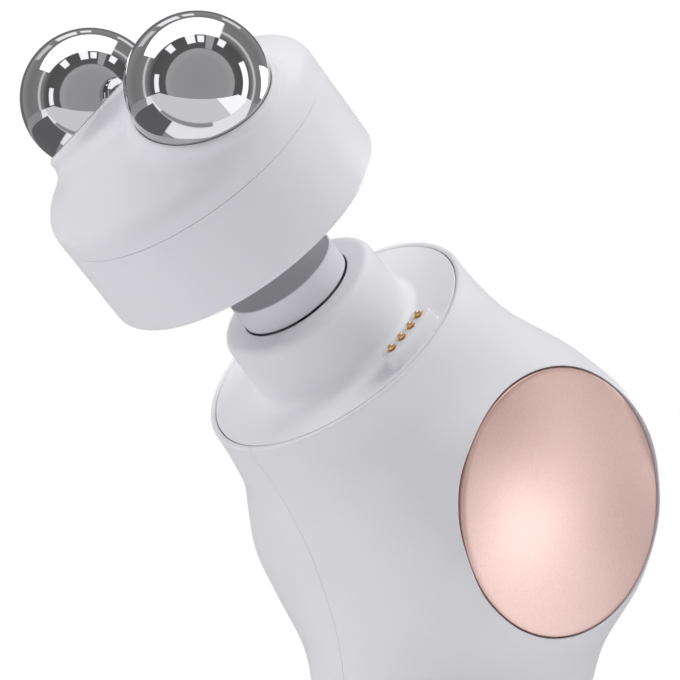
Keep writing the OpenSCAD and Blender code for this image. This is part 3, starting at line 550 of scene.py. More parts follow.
def materials():
    """The finishes, made once and looked up by name afterwards."""
    if "satin_shell" not in bpy.data.materials:
        c = colours()
        finish("satin_shell", c.shell, 0.42, grain=5200.0, grain_depth=0.0000035)
        finish("satin_ring", c.ring, 0.40, grain=5200.0, grain_depth=0.0000035)
        finish("satin_plunger", c.plunger, 0.36)
        finish("plunger_end", c.plunger_end, 0.42, grain=7000.0)
        finish("blasted_rose", c.rose, 0.38, metallic=0.5, grain=3200.0, grain_depth=0.000006,
               spread=0.02, rough_spread=0.03, coat=1.0, coat_roughness=0.36, sparkle=0.08,
               ior=2.4)
        finish("mirror_chrome", c.chrome, 0.03, metallic=1.0, grain=900.0,
               grain_depth=0.0000002, spread=0.01, rough_spread=0.01)
        finish("gold_plate", c.gold, 0.24, metallic=1.0, grain=6000.0, spread=0.08)
        finish("panel_gloss", c.panel, 0.14, coat=0.5, coat_roughness=0.06)
        finish("button_satin", c.shell, 0.38)
        finish("foot_rubber", c.rubber, 0.7, grain=2600.0, grain_depth=0.00002)
        finish("plain_steel", (0.45, 0.45, 0.47), 0.32, metallic=1.0)
        finish("sintered_bronze", (0.42, 0.26, 0.11), 0.5, metallic=1.0, grain=3000.0,
               grain_depth=0.00001)
        finish("dark_moulding", (0.02, 0.02, 0.022), 0.5)
        finish("acetal", (0.55, 0.54, 0.5), 0.4)
        finish("cell_sleeve", (0.02, 0.09, 0.3), 0.32, coat=0.4)
        striped("copper_winding", (0.55, 0.2, 0.07), 0.35, 1.0, 900.0, 0.0001, "X")
        striped("rotor_laminations", (0.1, 0.1, 0.11), 0.45, 1.0, 700.0, 0.00005, "X")
        circuit_board_finish()
        smoked_glass()
    return bpy.data.materials


# ------------------------------------------------------------------ body surface

def slope_at(column, i):
    if i == 0 or i == len(SECTIONS) - 1:
        return 0.0
    h0 = SECTIONS[i][0] - SECTIONS[i - 1][0]
    h1 = SECTIONS[i + 1][0] - SECTIONS[i][0]
    d0 = (SECTIONS[i][column] - SECTIONS[i - 1][column]) / h0
    d1 = (SECTIONS[i + 1][column] - SECTIONS[i][column]) / h1
    return (d0 * h1 + d1 * h0) / (h0 + h1)


def section_value(place, column):
    """One column of the section table at a place, on a smooth curve through its rows."""
    i = 0
    while i < len(SECTIONS) - 2 and place >= SECTIONS[i + 1][0]:
        i += 1
    h = SECTIONS[i + 1][0] - SECTIONS[i][0]
    t = (place - SECTIONS[i][0]) / h
    r = 1 - t
    return (SECTIONS[i][column] * (1 + 2 * t) * r * r + slope_at(column, i) * h * t * r * r
            + SECTIONS[i + 1][column] * t * t * (3 - 2 * t)
            + slope_at(column, i + 1) * h * t * t * (t - 1))


def throat_at(place):
    """The front curve in the middle plane, as (y, z)."""
    tilt = sizes().head_tilt
    down = np.array([math.sin(tilt), -math.cos(tilt)])
    across = np.array([math.cos(tilt), math.sin(tilt)])
    centre = np.array([-sizes().head_forward, sizes().head_height]) / MM
    start = centre - across * SECTIONS[0][1] / 2
    end = np.array([-SECTIONS[-1][1] / 2, WAIST_HEIGHT])
    if place > 1:
        return end + np.array([0, (place - 1) * (SHELL_BOTTOM - WAIST_HEIGHT)])
    pull_down = start + THROAT_RUN * down
    pull_up = end + np.array([0, WAIST_RUN])
    u, r = place, 1 - place
    return r ** 3 * start + 3 * r * r * u * pull_down + 3 * r * u * u * pull_up + u ** 3 * end


def section_ring(place, inset=0.0, steps=96):
    """One side of a section, from the throat round to the spine, as an array of points."""
    tilt = 0.0 if place > 1 else sizes().head_tilt * (1 - place) ** 2
    along = np.array([math.cos(tilt), math.sin(tilt)])
    start = throat_at(place) + inset * along
    depth = section_value(place, 1) - 2 * inset
    half = section_value(place, 2) - inset
    middle = section_value(place, 3) * depth
    angle = np.radians(np.linspace(-90, 90, steps + 1))
    power = np.where(angle < 0, section_value(place, 4), section_value(place, 5))
    out = np.abs(np.cos(angle)) ** (2 / power)
    out[0] = out[-1] = 0.0
    run = np.sign(np.sin(angle)) * np.abs(np.sin(angle)) ** (2 / power)
    reach = middle + np.where(angle < 0, middle, depth - middle) * run
    return np.column_stack([half * out, start[0] + reach * along[0], start[1] + reach * along[1]])


def place_of_height(height):
    return 1 + (WAIST_HEIGHT - height) / (WAIST_HEIGHT - SHELL_BOTTOM)


def outer_rows(steps=96):
    """Rows of the housing's outside, with its rounded rim and rounded base."""
    rim_round = 0.35
    first = 0.008
    start = section_ring(first, 0.0, steps)
    corner = section_ring(0.0, 0.0, steps)
    flat = section_ring(0.0, rim_round, steps)
    rows = []
    for k in range(6):
        t = k / 6
        rows.append(flat * (1 - t) ** 2 + 2 * corner * t * (1 - t) + start * t * t)
    rows += [section_ring(first + (1 - first) * i / 170, 0.0, steps) for i in range(171)]
    low = place_of_height(SHELL_BOTTOM + BASE_ROUND)
    rows += [section_ring(1 + (low - 1) * i / 50, 0.0, steps) for i in range(1, 51)]
    for i in range(1, 9):
        a = math.radians(90 * i / 8)
        rows.append(section_ring(place_of_height(SHELL_BOTTOM + BASE_ROUND * (1 - math.sin(a))),
                                 BASE_ROUND * (1 - math.cos(a)), steps))
    return rows


def whole_loop(row):
    """Both sides of a section as one closed loop."""
    other = row[-2:0:-1] * np.array([-1, 1, 1])
    return np.vstack([row, other])


class BodySkin:
    """The uncut outside of the housing, for normals and for finding the surface."""

    def __init__(self, rows):
        loops = [whole_loop(row) for row in rows]
        count = len(loops[0])
        self.points = [Vector(p) * MM for loop in loops for p in loop]
        self.faces = [(i * count + k, i * count + (k + 1) % count,
                       (i + 1) * count + (k + 1) % count, (i + 1) * count + k)
                      for i in range(len(loops) - 1) for k in range(count)]
        mesh = bpy.data.meshes.new("skin")
        mesh.from_pydata(self.points, [], self.faces)
        self.normals = [v.normal.copy() for v in mesh.vertices]
        self.tree = BVHTree.FromPolygons(self.points, self.faces)
        middle = sum(self.points, Vector()) / len(self.points)
        far = max(range(len(self.points)), key=lambda i: (self.points[i] - middle).x)
        if self.normals[far].x < 0:
            self.normals = [-n for n in self.normals]
        bpy.data.meshes.remove(mesh)

    def normal_at(self, point):
        spot, _, face, distance = self.tree.find_nearest(point)
        if spot is None or distance > SKIN_TOLERANCE:
            return None
        corners = self.faces[face]
        weights = poly_3d_calc([self.points[i] for i in corners], spot)
        return sum((self.normals[i] * w for i, w in zip(corners, weights)), Vector()).normalized()

    def side_at(self, y, z):
        """Half width of the body at a point seen from the side, in millimetres."""
        hit = self.tree.ray_cast(Vector((0.08, y * MM, z * MM)), Vector((-1, 0, 0)))[0]
        return hit.x / MM


def side_seat_cutter(skin):
    """The side plate's recess, with a lip that rounds over into the body all the way round."""
    steps = 240
    lip = 0.3
    profile = [(0.0, SIDE_SEAT_X, 0.0), (SIDE_SEAT_RADIUS, SIDE_SEAT_X, 0.0)]
    for k in range(7):
        a = math.radians(90 * k / 6)
        profile.append((SIDE_SEAT_RADIUS + lip * (1 - math.cos(a)),
                        -lip * (1 - math.sin(a)), 1.0))
    profile.append((SIDE_SEAT_RADIUS + lip + 0.02, 0.06, 1.0))
    rows = []
    for radius, x, follows in profile[1:]:
        row = []
        for k in range(steps):
            a = 2 * math.pi * k / steps
            y = SIDE_BACK + radius * math.cos(a)
            z = SIDE_HEIGHT + radius * math.sin(a)
            row.append((x + follows * skin.side_at(y, z), y, z))
        rows.append(row)
    far = [(x + 20, y, z) for x, y, z in rows[-1]]
    return rows_solid("side_seat_cutter", rows + [far])


def slot_half_width(rise, width, length):
    """Half width of a round-ended slot at a height over its middle."""
    straight = (length - width) / 2
    over = max(abs(rise) - straight, 0.0)
    return math.sqrt(max((width / 2) ** 2 - over ** 2, 0.0))


def panel_face(height, depth=0.0):
    return (PANEL_BACK - PANEL_CURVE
            + math.sqrt((PANEL_CURVE - depth) ** 2 - (height - PANEL_MIDDLE) ** 2))


def slot_block(name, width, length, low_at, high_at, steps=60):
    """A slot-shaped block on the spine, from one curved face to another."""
    rows = []
    for k in range(steps + 1):
        rise = -length / 2 * math.cos(math.pi * k / steps) * 0.9999
        half = slot_half_width(rise, width, length)
        z = PANEL_MIDDLE + rise
        rows.append([(-half, low_at(z), z), (half, low_at(z), z),
                     (half, high_at(z), z), (-half, high_at(z), z)])
    return rows_solid(name, rows)


class TONING_OT_housing(bpy.types.Operator):
    """Makes the two half shells of the housing"""

    bl_idname = "toning.housing"
    bl_label = "Housing"

    def execute(self, context):
        rows = outer_rows()
        skin = BodySkin(rows)
        seam = sizes().seam_gap / MM
        halves = [np.maximum(row, [seam, -np.inf, -np.inf]) for row in rows]
        right = rows_solid("housing_right", halves)
        cavity_rows = []
        cavity_low = place_of_height(FLOOR_HEIGHT)
        for i in range(41):
            loop = whole_loop(section_ring(0.08 + (cavity_low - 0.08) * i / 40, SHELL_WALL, 48))
            loop[:, 0] = np.clip(loop[:, 0], -CAVITY_HALF_WIDTH, CAVITY_HALF_WIDTH)
            cavity_rows.append(loop)
        cavity = rows_solid("cavity", cavity_rows)
        lip = 0.25
        recess = lathe("recess", rounded([
            (0, -8.2, 0), (LEDGE_RADIUS, -8.2, 0), (LEDGE_RADIUS, -PLATE_THICKNESS, 0),
            (FACE_SEAT_RADIUS, -PLATE_THICKNESS, 0), (FACE_SEAT_RADIUS, -lip, 0),
            (FACE_SEAT_RADIUS + 0.07, -0.08, 0), (FACE_SEAT_RADIUS + lip, 0.005, 0),
            (FACE_SEAT_RADIUS + lip, 4, 0), (0, 4, 0)]), place_head(), steps=240)
        foot = lathe("foot_recess", [(0, -2), (FOOT_RADIUS + 0.15, -2),
                                     (FOOT_RADIUS + 0.15, FOOT_THICKNESS), (0, FOOT_THICKNESS)])
        panel = slot_block("panel_recess", PANEL_WIDTH, PANEL_LENGTH,
                           lambda z: panel_face(z, PANEL_THICKNESS), lambda z: 50.0)
        window = slot_block("panel_window", PANEL_WIDTH - 4, PANEL_LENGTH - 4,
                            lambda z: PANEL_BACK - 6.6, lambda z: 50.0)
        inlet_rows = []
        for y in (10.5, 30.0):
            loop = []
            for k in range(48):
                a = 2 * math.pi * k / 48
                loop.append((math.copysign(2.85, math.cos(a)) + 1.75 * math.cos(a), y,
                             SOCKET_HEIGHT + 1.75 * math.sin(a)))
            inlet_rows.append(loop)
        inlet = rows_solid("inlet_cutter", inlet_rows)
        carve(right, [cavity, recess, side_seat_cutter(skin), foot, panel, window, inlet])
        skin_normals(right, skin.normal_at)
        left = mirrored(right, "housing_left")
        shell = materials()["satin_shell"]
        finish_piece(right, shell, "body_white", "handle", "right_shell")
        finish_piece(left, shell, "body_white", "handle", "left_shell")
        return {"FINISHED"}


# ------------------------------------------------------------------ face plate and contacts

def pin_angles():
    step = PIN_PITCH / PIN_ARC_RADIUS
    return [step * k for k in (-1.5, -0.5, 0.5, 1.5)]


def block_loop(half_length, half_width, corner, height, steps=8, side_steps=16):
    """A rounded rectangle bent round the pins' arc."""
    straight = half_length - corner
    outline = []
    for cx, cy, start in ((1, 1, 0), (-1, 1, 90), (-1, -1, 180), (1, -1, 270)):
        for k in range(steps + 1):
            a = math.radians(start + 90 * k / steps)
            outline.append((cx * straight + corner * math.cos(a),
                            cy * (half_width - corner) + corner * math.sin(a)))
        if cx == cy:
            outline += [(cx * straight * (1 - 2 * k / side_steps), cy * half_width)
                        for k in range(1, side_steps)]
    loop = []
    for along, out in outline:
        radius = PIN_ARC_RADIUS + out
        turn = along / PIN_ARC_RADIUS
        loop.append((radius * math.cos(turn), radius * math.sin(turn), height))
    return loop


def pin_block():
    """The raised block that holds the contact pins."""
    half_length, half_width = PIN_BLOCK_LENGTH / 2, PIN_BLOCK_WIDTH / 2
    levels = [(0.32, -0.5), (0.32, 0.0), (0.15, 0.06), (0.05, 0.2), (0.0, 0.5),
              (-0.12, PIN_BLOCK_HEIGHT - 0.5)]
    for k in range(1, 6):
        a = math.radians(90 * k / 5)
        levels.append((-0.12 - 0.5 * (1 - math.cos(a)),
                       PIN_BLOCK_HEIGHT - 0.5 + 0.5 * math.sin(a)))
    rows = [block_loop(half_length + grow, half_width + grow, PIN_BLOCK_CORNER + grow, height)
            for grow, height in levels]
    return rows_solid("pin_block", rows, place_head())


class TONING_OT_face_plate(bpy.types.Operator):
    """Makes the face plate with its neck and pin block"""

    bl_idname = "toning.face_plate"
    bl_label = "Face plate and neck"

    def execute(self, context):
        plate = lathe("neck_plate", rounded([
            (NECK_BORE, -5.5, 0), (7.5, -5.5, 0), (7.5, 5.4, 0), (12.5, 5.4, 0),
            (13, -PLATE_THICKNESS, 0), (PLATE_RADIUS, -PLATE_THICKNESS, 0),
            (PLATE_RADIUS, 0, 0.2), (NECK_FOOT_RADIUS, 0, 2.0), (NECK_RADIUS, NECK_TOP, 1.6),
            (CAP_RECESS_RADIUS, NECK_TOP, 0.12), (CAP_RECESS_RADIUS, CAP_RECESS_LOW, 0),
            (NECK_BORE, CAP_RECESS_LOW, 0)]), place_head(), steps=200)
        carve(plate, [pin_block()], "UNION")
        holes = []
        for turn in pin_angles():
            spot = Matrix.Rotation(turn, 4, "Z") @ Matrix.Translation((PIN_ARC_RADIUS, 0, 0))
            holes.append(lathe("pin_hole", [(0, -4), (BARREL_RADIUS + 0.02, -4),
                                            (BARREL_RADIUS + 0.02, 6), (0, 6)],
                               place_head() @ spot, steps=40))
        carve(plate, holes)
        soften(plate)
        finish_piece(plate, materials()["satin_shell"], "body_white", "handle", "face_plate")
        return {"FINISHED"}


def copies_on_arc_tree(name, material):
    """Geometry Nodes: copies of a mesh stood along an arc about the origin's +Z."""
    tree = bpy.data.node_groups.new(name, "GeometryNodeTree")
    face = tree.interface
    face.new_socket("Geometry", in_out="INPUT", socket_type="NodeSocketGeometry")
    copy = face.new_socket("Copy", in_out="INPUT", socket_type="NodeSocketObject")
    count = face.new_socket("Count", in_out="INPUT", socket_type="NodeSocketInt")
    radius = face.new_socket("Arc radius", in_out="INPUT", socket_type="NodeSocketFloat")
    pitch = face.new_socket("Pitch angle", in_out="INPUT", socket_type="NodeSocketFloat")
    face.new_socket("Geometry", in_out="OUTPUT", socket_type="NodeSocketGeometry")
    nodes, links = tree.nodes, tree.links
    given = nodes.new("NodeGroupInput")
    result = nodes.new("NodeGroupOutput")
    points = nodes.new("GeometryNodePoints")
    index = nodes.new("GeometryNodeInputIndex")
    links.new(given.outputs["Count"], points.inputs["Count"])

    def sum_of(operation, a, b):
        node = nodes.new("ShaderNodeMath")
        node.operation = operation
        for socket, value in zip(node.inputs, (a, b)):
            if isinstance(value, (int, float)):
                socket.default_value = value
            else:
                links.new(value, socket)
        return node.outputs[0]

    middle = sum_of("MULTIPLY", sum_of("SUBTRACT", given.outputs["Count"], 1.0), 0.5)
    turn = sum_of("MULTIPLY", sum_of("SUBTRACT", index.outputs[0], middle),
                  given.outputs["Pitch angle"])
    spot = nodes.new("ShaderNodeCombineXYZ")
    arc = given.outputs["Arc radius"]
    links.new(sum_of("MULTIPLY", sum_of("COSINE", turn, 0.0), arc), spot.inputs["X"])
    links.new(sum_of("MULTIPLY", sum_of("SINE", turn, 0.0), arc), spot.inputs["Y"])
    links.new(spot.outputs[0], points.inputs["Position"])
    facing = nodes.new("ShaderNodeCombineXYZ")
    links.new(turn, facing.inputs["Z"])
    info = nodes.new("GeometryNodeObjectInfo")
    links.new(given.outputs["Copy"], info.inputs["Object"])
    stood = nodes.new("GeometryNodeInstanceOnPoints")
    links.new(points.outputs[0], stood.inputs["Points"])
    links.new(info.outputs["Geometry"], stood.inputs["Instance"])
    links.new(facing.outputs[0], stood.inputs["Rotation"])
    real = nodes.new("GeometryNodeRealizeInstances")
    links.new(stood.outputs[0], real.inputs[0])
    dressed = nodes.new("GeometryNodeSetMaterial")
    dressed.inputs["Material"].default_value = material
    links.new(real.outputs[0], dressed.inputs["Geometry"])
    links.new(dressed.outputs[0], result.inputs[0])
    return tree, {"copy": copy.identifier, "count": count.identifier,
                  "radius": radius.identifier, "pitch": pitch.identifier}


def arc_copies(name, model, count, radius, pitch, material, place):
    """Stands copies of the model along an arc and returns them as one placed mesh."""
    holder = bpy.data.objects.new(name, bpy.data.meshes.new(name))
    bpy.context.scene.collection.objects.link(holder)
    tree, ids = copies_on_arc_tree(name + "_layout", material)
    layout = holder.modifiers.new("layout", "NODES")
    layout.node_group = tree
    layout[ids["copy"]] = model
    layout[ids["count"]] = count
    layout[ids["radius"]] = radius
    layout[ids["pitch"]] = pitch
    bpy.context.view_layer.update()
    made = holder.evaluated_get(bpy.context.evaluated_depsgraph_get())
    mesh = bpy.data.meshes.new_from_object(made)
    holder.modifiers.remove(layout)
    holder.data = mesh
    to_metres = Matrix.Scale(MM, 4)
    mesh.transform(to_metres @ place @ to_metres.inverted())
    bpy.data.objects.remove(model)
    return holder


class TONING_OT_contacts(bpy.types.Operator):
    """Makes the gold contact pins and the rings round them"""

    bl_idname = "toning.contacts"
    bl_label = "Contacts"

    def execute(self, context):
        gold = materials()["gold_plate"]
        inner = PIN_RADIUS + 0.05
        collar = lathe("collar", rounded([
            (inner, BARREL_LOW, 0), (BARREL_RADIUS, BARREL_LOW, 0),
            (BARREL_RADIUS, PIN_BLOCK_HEIGHT, 0.08), (inner + 0.12, PIN_BLOCK_HEIGHT, 0.05),
            (inner, PIN_BLOCK_HEIGHT - 0.2, 0)], 4), steps=32)
        surrounds = arc_copies("contact_surrounds", collar, 4, PIN_ARC_RADIUS * MM,
                               PIN_PITCH / PIN_ARC_RADIUS, gold, place_head())
        soften(surrounds)
        finish_piece(surrounds, gold, "gold", "handle", "pin_barrels")
        for number, turn in enumerate(pin_angles(), 1):
            spot = Matrix.Rotation(turn, 4, "Z") @ Matrix.Translation((PIN_ARC_RADIUS, 0, 0))
            top = PIN_BLOCK_HEIGHT + PIN_PROUD
            pin = lathe(f"contact_tip_{number}", rounded([
                (0, BARREL_LOW + 1.1, 0), (PIN_RADIUS, BARREL_LOW + 1.1, 0),
                (PIN_RADIUS, top, PIN_RADIUS * 0.8), (0, top, 0)]),
                place_head() @ spot, steps=32)
            soften(pin)
            finish_piece(pin, gold, "gold", f"pin_{number}", f"contact_pin_{number}")
        return {"FINISHED"}


class TONING_OT_plunger(bpy.types.Operator):
    """Makes the plunger's cap and its grey end face"""

    bl_idname = "toning.plunger"
    bl_label = "Plunger"

    def execute(self, context):
        lip = CAP_END_RADIUS + 0.02
        cap = lathe("plunger_collar", rounded([
            (CAP_BORE, CAP_LOW, 0), (CAP_RADIUS, CAP_LOW, 0.15), (CAP_RADIUS, CAP_TOP, 0.2),
            (lip, CAP_TOP, 0.02), (lip, CAP_END_SEAT, 0), (CAP_BORE, CAP_END_SEAT, 0)]),
            place_head())
        soften(cap)
        finish_piece(cap, materials()["satin_plunger"], "plunger_white", "plunger", "plunger_cap")
        # The end face takes the darker plunger_end grey: partly its own grey, partly painted shade
        # from the ring above.
        face = CAP_TOP - CAP_END_SUNK
        end = lathe("plunger_end_face", rounded([
            (0, CAP_END_SEAT, 0), (CAP_END_RADIUS, CAP_END_SEAT, 0), (CAP_END_RADIUS, face, 0.1),
            (0, face, 0)]), place_head())
        soften(end)
        finish_piece(end, materials()["plunger_end"], "plunger_steel", "plunger", "cap_magnet")
        return {"FINISHED"}


class TONING_OT_side_plates(bpy.types.Operator):
    """Makes the two domed electrode plates on the cheeks"""

    bl_idname = "toning.side_plates"
    bl_label = "Side plates"

    def execute(self, context):
        radius = sizes().side_plate_radius / MM
        bulge = sizes().side_plate_bulge / MM
        edge = SIDE_EDGE_ROUND
        ball = (radius * radius + bulge * bulge) / (2 * bulge)
        edge_height = SIDE_EDGE_X - SIDE_SEAT_X
        profile = [(0.0, 0.0), (radius, 0.0), (radius, edge_height - edge)]
        for k in range(1, 5):
            a = math.radians(90 * k / 5)
            profile.append((radius - edge * (1 - math.cos(a)),
                            edge_height - edge * (1 - math.sin(a))))
        for k in range(41):
            r = (radius - edge) * (1 - k / 40)
            drop = ball - math.sqrt(ball * ball - r * r)
            profile.append((r, edge_height + bulge - drop - edge * 0.1))
        place = (Matrix.Translation((SIDE_SEAT_X, SIDE_BACK, SIDE_HEIGHT))
                 @ Matrix.Rotation(math.radians(90), 4, "Y"))
        right = lathe("cheek_plate_right", profile, place, steps=200)
        soften(right)
        left = mirrored(right, "cheek_plate_left")
        rose = materials()["blasted_rose"]
        finish_piece(right, rose, "rose_metal", "handle", "right_side_plate")
        finish_piece(left, rose, "rose_metal", "handle", "left_side_plate")
        for plate in (right, left):
            sheen_group().objects.link(plate)
        return {"FINISHED"}


# ------------------------------------------------------------------ controls

def sheet_piece(name, outline_half, low, high, depth, thickness, crown=0.0):
    """A curved sheet on the spine between two heights; outline_half gives its half width."""
    rows = []
    steps, across = 56, 12
    for k in range(steps + 1):
        z = low + (high - low) * (0.5 - 0.5 * math.cos(math.pi * k / steps))
        half = max(outline_half(z), 0.02)
        row = []
        for j in range(across + 1):
            x = half * (1 - 2 * j / across)
            row.append((x, panel_face(z, depth + crown * (x / half) ** 2), z))
        row.append((-half, panel_face(z, depth + thickness), z))
        row.append((half, panel_face(z, depth + thickness), z))
        rows.append(row)
    return rows_solid(name, rows)


def on_spine(y, z):
    """Stands a lathe's axis along +Y at a place on the spine."""
    return Matrix.Translation((0, y, z)) @ Matrix.Rotation(math.radians(-90), 4, "X")


class TONING_OT_controls(bpy.types.Operator):
    """Makes the control panel, its display window and the two buttons"""

    bl_idname = "toning.controls"
    bl_label = "Controls"

    def execute(self, context):
        gap = 0.15
        panel = sheet_piece(
            "spine_panel",
            lambda z: slot_half_width(z - PANEL_MIDDLE, PANEL_WIDTH - 2 * gap,
                                      PANEL_LENGTH - 2 * gap + 0.02),
            PANEL_MIDDLE - PANEL_LENGTH / 2 + gap, PANEL_MIDDLE + PANEL_LENGTH / 2 - gap,
            0.0, PANEL_THICKNESS, 0.12)
        holes = [lathe("button_hole", [(0, -4), (BUTTON_RADIUS + gap, -4),
                                       (BUTTON_RADIUS + gap, 5), (0, 5)],
                       on_spine(PANEL_BACK - 1, z), steps=96)
                 for z in (LOWER_BUTTON_HEIGHT, UPPER_BUTTON_HEIGHT)]
        half_w, half_h = DISPLAY_SIZE[0] / 2, DISPLAY_SIZE[1] / 2
        low, high = DISPLAY_HEIGHT - half_h, DISPLAY_HEIGHT + half_h
        opening = rounded([(-half_w, low, 0.4), (half_w, low, 0.4),
                           (half_w, high, 0.4), (-half_w, high, 0.4)])
        holes.append(rows_solid("display_hole",
                                [[(x, y, z) for x, z in opening] for y in (27, 36)]))
        carve(panel, holes)
        soften(panel)
        finish_piece(panel, materials()["panel_gloss"], "panel_gloss", "handle", "control_panel")
        glass = sheet_piece("display_glass", lambda z: half_w - 0.03, low + 0.03, high - 0.03,
                            0.05, PANEL_THICKNESS - 0.05)
        soften(glass)
        finish_piece(glass, materials()["smoked_window"], "display_glass", "handle",
                     "display_window")
        flange_back = PANEL_BACK - 2.9
        for name, body, z in (("lower_button_cap", "mode_button", LOWER_BUTTON_HEIGHT),
                              ("upper_button_cap", "percussion_button", UPPER_BUTTON_HEIGHT)):
            top = panel_face(z) + BUTTON_PROUD - flange_back + 1
            dish = 0.25
            profile = rounded([(0, 0, 0), (FLANGE_RADIUS, 0, 0), (FLANGE_RADIUS, 1, 0.1),
                               (BUTTON_RADIUS, 1, 0), (BUTTON_RADIUS, top, 0.3),
                               (BUTTON_RADIUS - 0.7, top, 0.5)])
            profile += [(2.0, top - dish * 0.6), (1.2, top - dish * 0.9), (0, top - dish)]
            cap = lathe(name, profile, on_spine(flange_back - 1, z), steps=96)
            soften(cap)
            finish_piece(cap, materials()["button_satin"], "button_white", body, body)
        return {"FINISHED"}


class TONING_OT_foot(bpy.types.Operator):
    """Makes the rubber foot with its moulded rings"""

    bl_idname = "toning.foot"
    bl_label = "Foot"

    def execute(self, context):
        corners = [(0, FOOT_THICKNESS, 0), (FOOT_RADIUS, FOOT_THICKNESS, 0), (FOOT_RADIUS, 0, 0.3)]
        for k in range(6):
            edge = FOOT_RADIUS - 1.5 - 2.4 * k
            corners += [(edge, 0, 0.05), (edge - 0.15, 0.3, 0), (edge - 0.65, 0.3, 0),
                        (edge - 0.8, 0, 0.05)]
        corners.append((0, 0, 0))
        foot = lathe("rubber_foot", rounded(corners, 4), steps=128)
        soften(foot)
        finish_piece(foot, materials()["foot_rubber"], "foot_rubber", "handle", "foot_pad")
        return {"FINISHED"}


# ------------------------------------------------------------------ toning ring

def smooth_union(a, b, blend):
    h = np.maximum(blend - np.abs(a - b), 0) / blend
    return np.minimum(a, b) - h * h * blend / 4


def cup_rim():
    """Centre of the right cup's rim and its axis, in the ring's frame."""
    cant = sizes().cup_cant
    axis = np.array([math.sin(cant), 0, math.cos(cant)])
    ball = np.array([sizes().ball_offset / MM, 0, BALL_HEIGHT])
    return ball - CUP_BELOW * axis, axis


def smooth_overlap(a, b, blend):
    return -smooth_union(-a, -b, blend)


def crown_distance(points):
    """Signed distance to the crown: the drum, its sloping deck and two leaning cups, blended."""
    x, y, z = np.abs(points[:, 0]), points[:, 1], points[:, 2]
    side = np.hypot(x, y) - sizes().ring_radius / MM
    deck = ((np.hypot(DECK_STRETCH * x, y) - DECK_RADIUS + (z - DECK_HEIGHT) * DECK_SLOPE)
            / math.hypot(1, DECK_SLOPE))
    drum = smooth_overlap(side, deck, DECK_EDGE_BLEND)
    drum = smooth_overlap(drum, z - DECK_TOP, DECK_TOP_BLEND)
    rim, axis = cup_rim()

    def cup(side):
        p = points - rim * np.array([side, 1, 1])
        lean = axis * np.array([side, 1, 1])
        rise = p @ lean
        out = np.linalg.norm(p - rise[:, None] * lean, axis=1)
        wall = out - (CUP_RIM_RADIUS - CUP_TAPER * np.maximum(-rise, 0))
        return np.maximum(np.maximum(wall, rise - 0.8), -rise - 22)

    cups = smooth_union(cup(1), cup(-1), CUP_UNION)
    return smooth_union(drum, cups, CUP_BLEND)


def crown_gradient(points):
    step = 0.01
    gradient = np.zeros_like(points)
    for axis in range(3):
        shift = np.zeros(3)
        shift[axis] = step
        gradient[:, axis] = crown_distance(points + shift) - crown_distance(points - shift)
    return gradient / np.linalg.norm(gradient, axis=1)[:, None]


def crown_blank():
    """The uncut crown, found along rays from a point inside the drum."""
    heart = np.array([0.0, 0.0, 11.0])
    around, down = 256, 150
    steps = np.linspace(0, 1, down + 1)[1:]
    tilt = np.radians(118) * steps
    turn = np.linspace(0, 2 * np.pi, around, endpoint=False)
    ways = np.array([(math.sin(t) * math.cos(a), math.sin(t) * math.sin(a), math.cos(t))
                     for t in tilt for a in turn])
    ways = np.vstack([[0, 0, 1], ways])
    low, high = np.full(len(ways), 1.0), np.full(len(ways), 45.0)
    for _ in range(40):
        mid = (low + high) / 2
        inside = crown_distance(heart + ways * mid[:, None]) < 0
        low, high = np.where(inside, mid, low), np.where(inside, high, mid)
    points = heart + ways * low[:, None]
    faces = [(0, 1 + k, 1 + (k + 1) % around) for k in range(around)]
    for i in range(down - 1):
        for k in range(around):
            n = (k + 1) % around
            a, b = 1 + i * around, 1 + (i + 1) * around
            faces.append((a + k, b + k, b + n, a + n))
    last = 1 + (down - 1) * around
    faces.append(tuple(range(last, last + around)))
    return mesh_object("ring_crown", points, faces, place_ring())


def cup_cutter(side):
    """Hollows a cup for its ball and rounds its lip."""
    cant = sizes().cup_cant * side
    ball = sizes().ball_radius / MM + 0.04
    rim = math.sqrt(ball * ball - CUP_BELOW * CUP_BELOW)
    profile = []
    start = math.atan2(rim, -CUP_BELOW)
    for k in range(33):
        a = math.pi + (start + 0.03 - math.pi) * k / 32
        profile.append((abs(ball * math.sin(a)) if k else 0.0, ball * math.cos(a)))
    lip = -CUP_BELOW
    profile += [(rim + 0.05, lip - 0.01), (rim + 0.25, lip - 0.02), (rim + 0.45, lip - 0.09),
                (rim + 0.62, lip - 0.22), (rim + 0.8, lip - 0.45), (rim + 1.4, lip - 1.5),
                (rim + 4, lip - 1.5), (rim + 4, lip + 14), (0, lip + 14)]
    place = (place_ring() @ Matrix.Translation((side * sizes().ball_offset / MM, 0, BALL_HEIGHT))
             @ Matrix.Rotation(cant, 4, "Y") @ Matrix.Rotation(CUTTER_TURN, 4, "Z"))
    return lathe("cup_cutter", profile, place, steps=192)


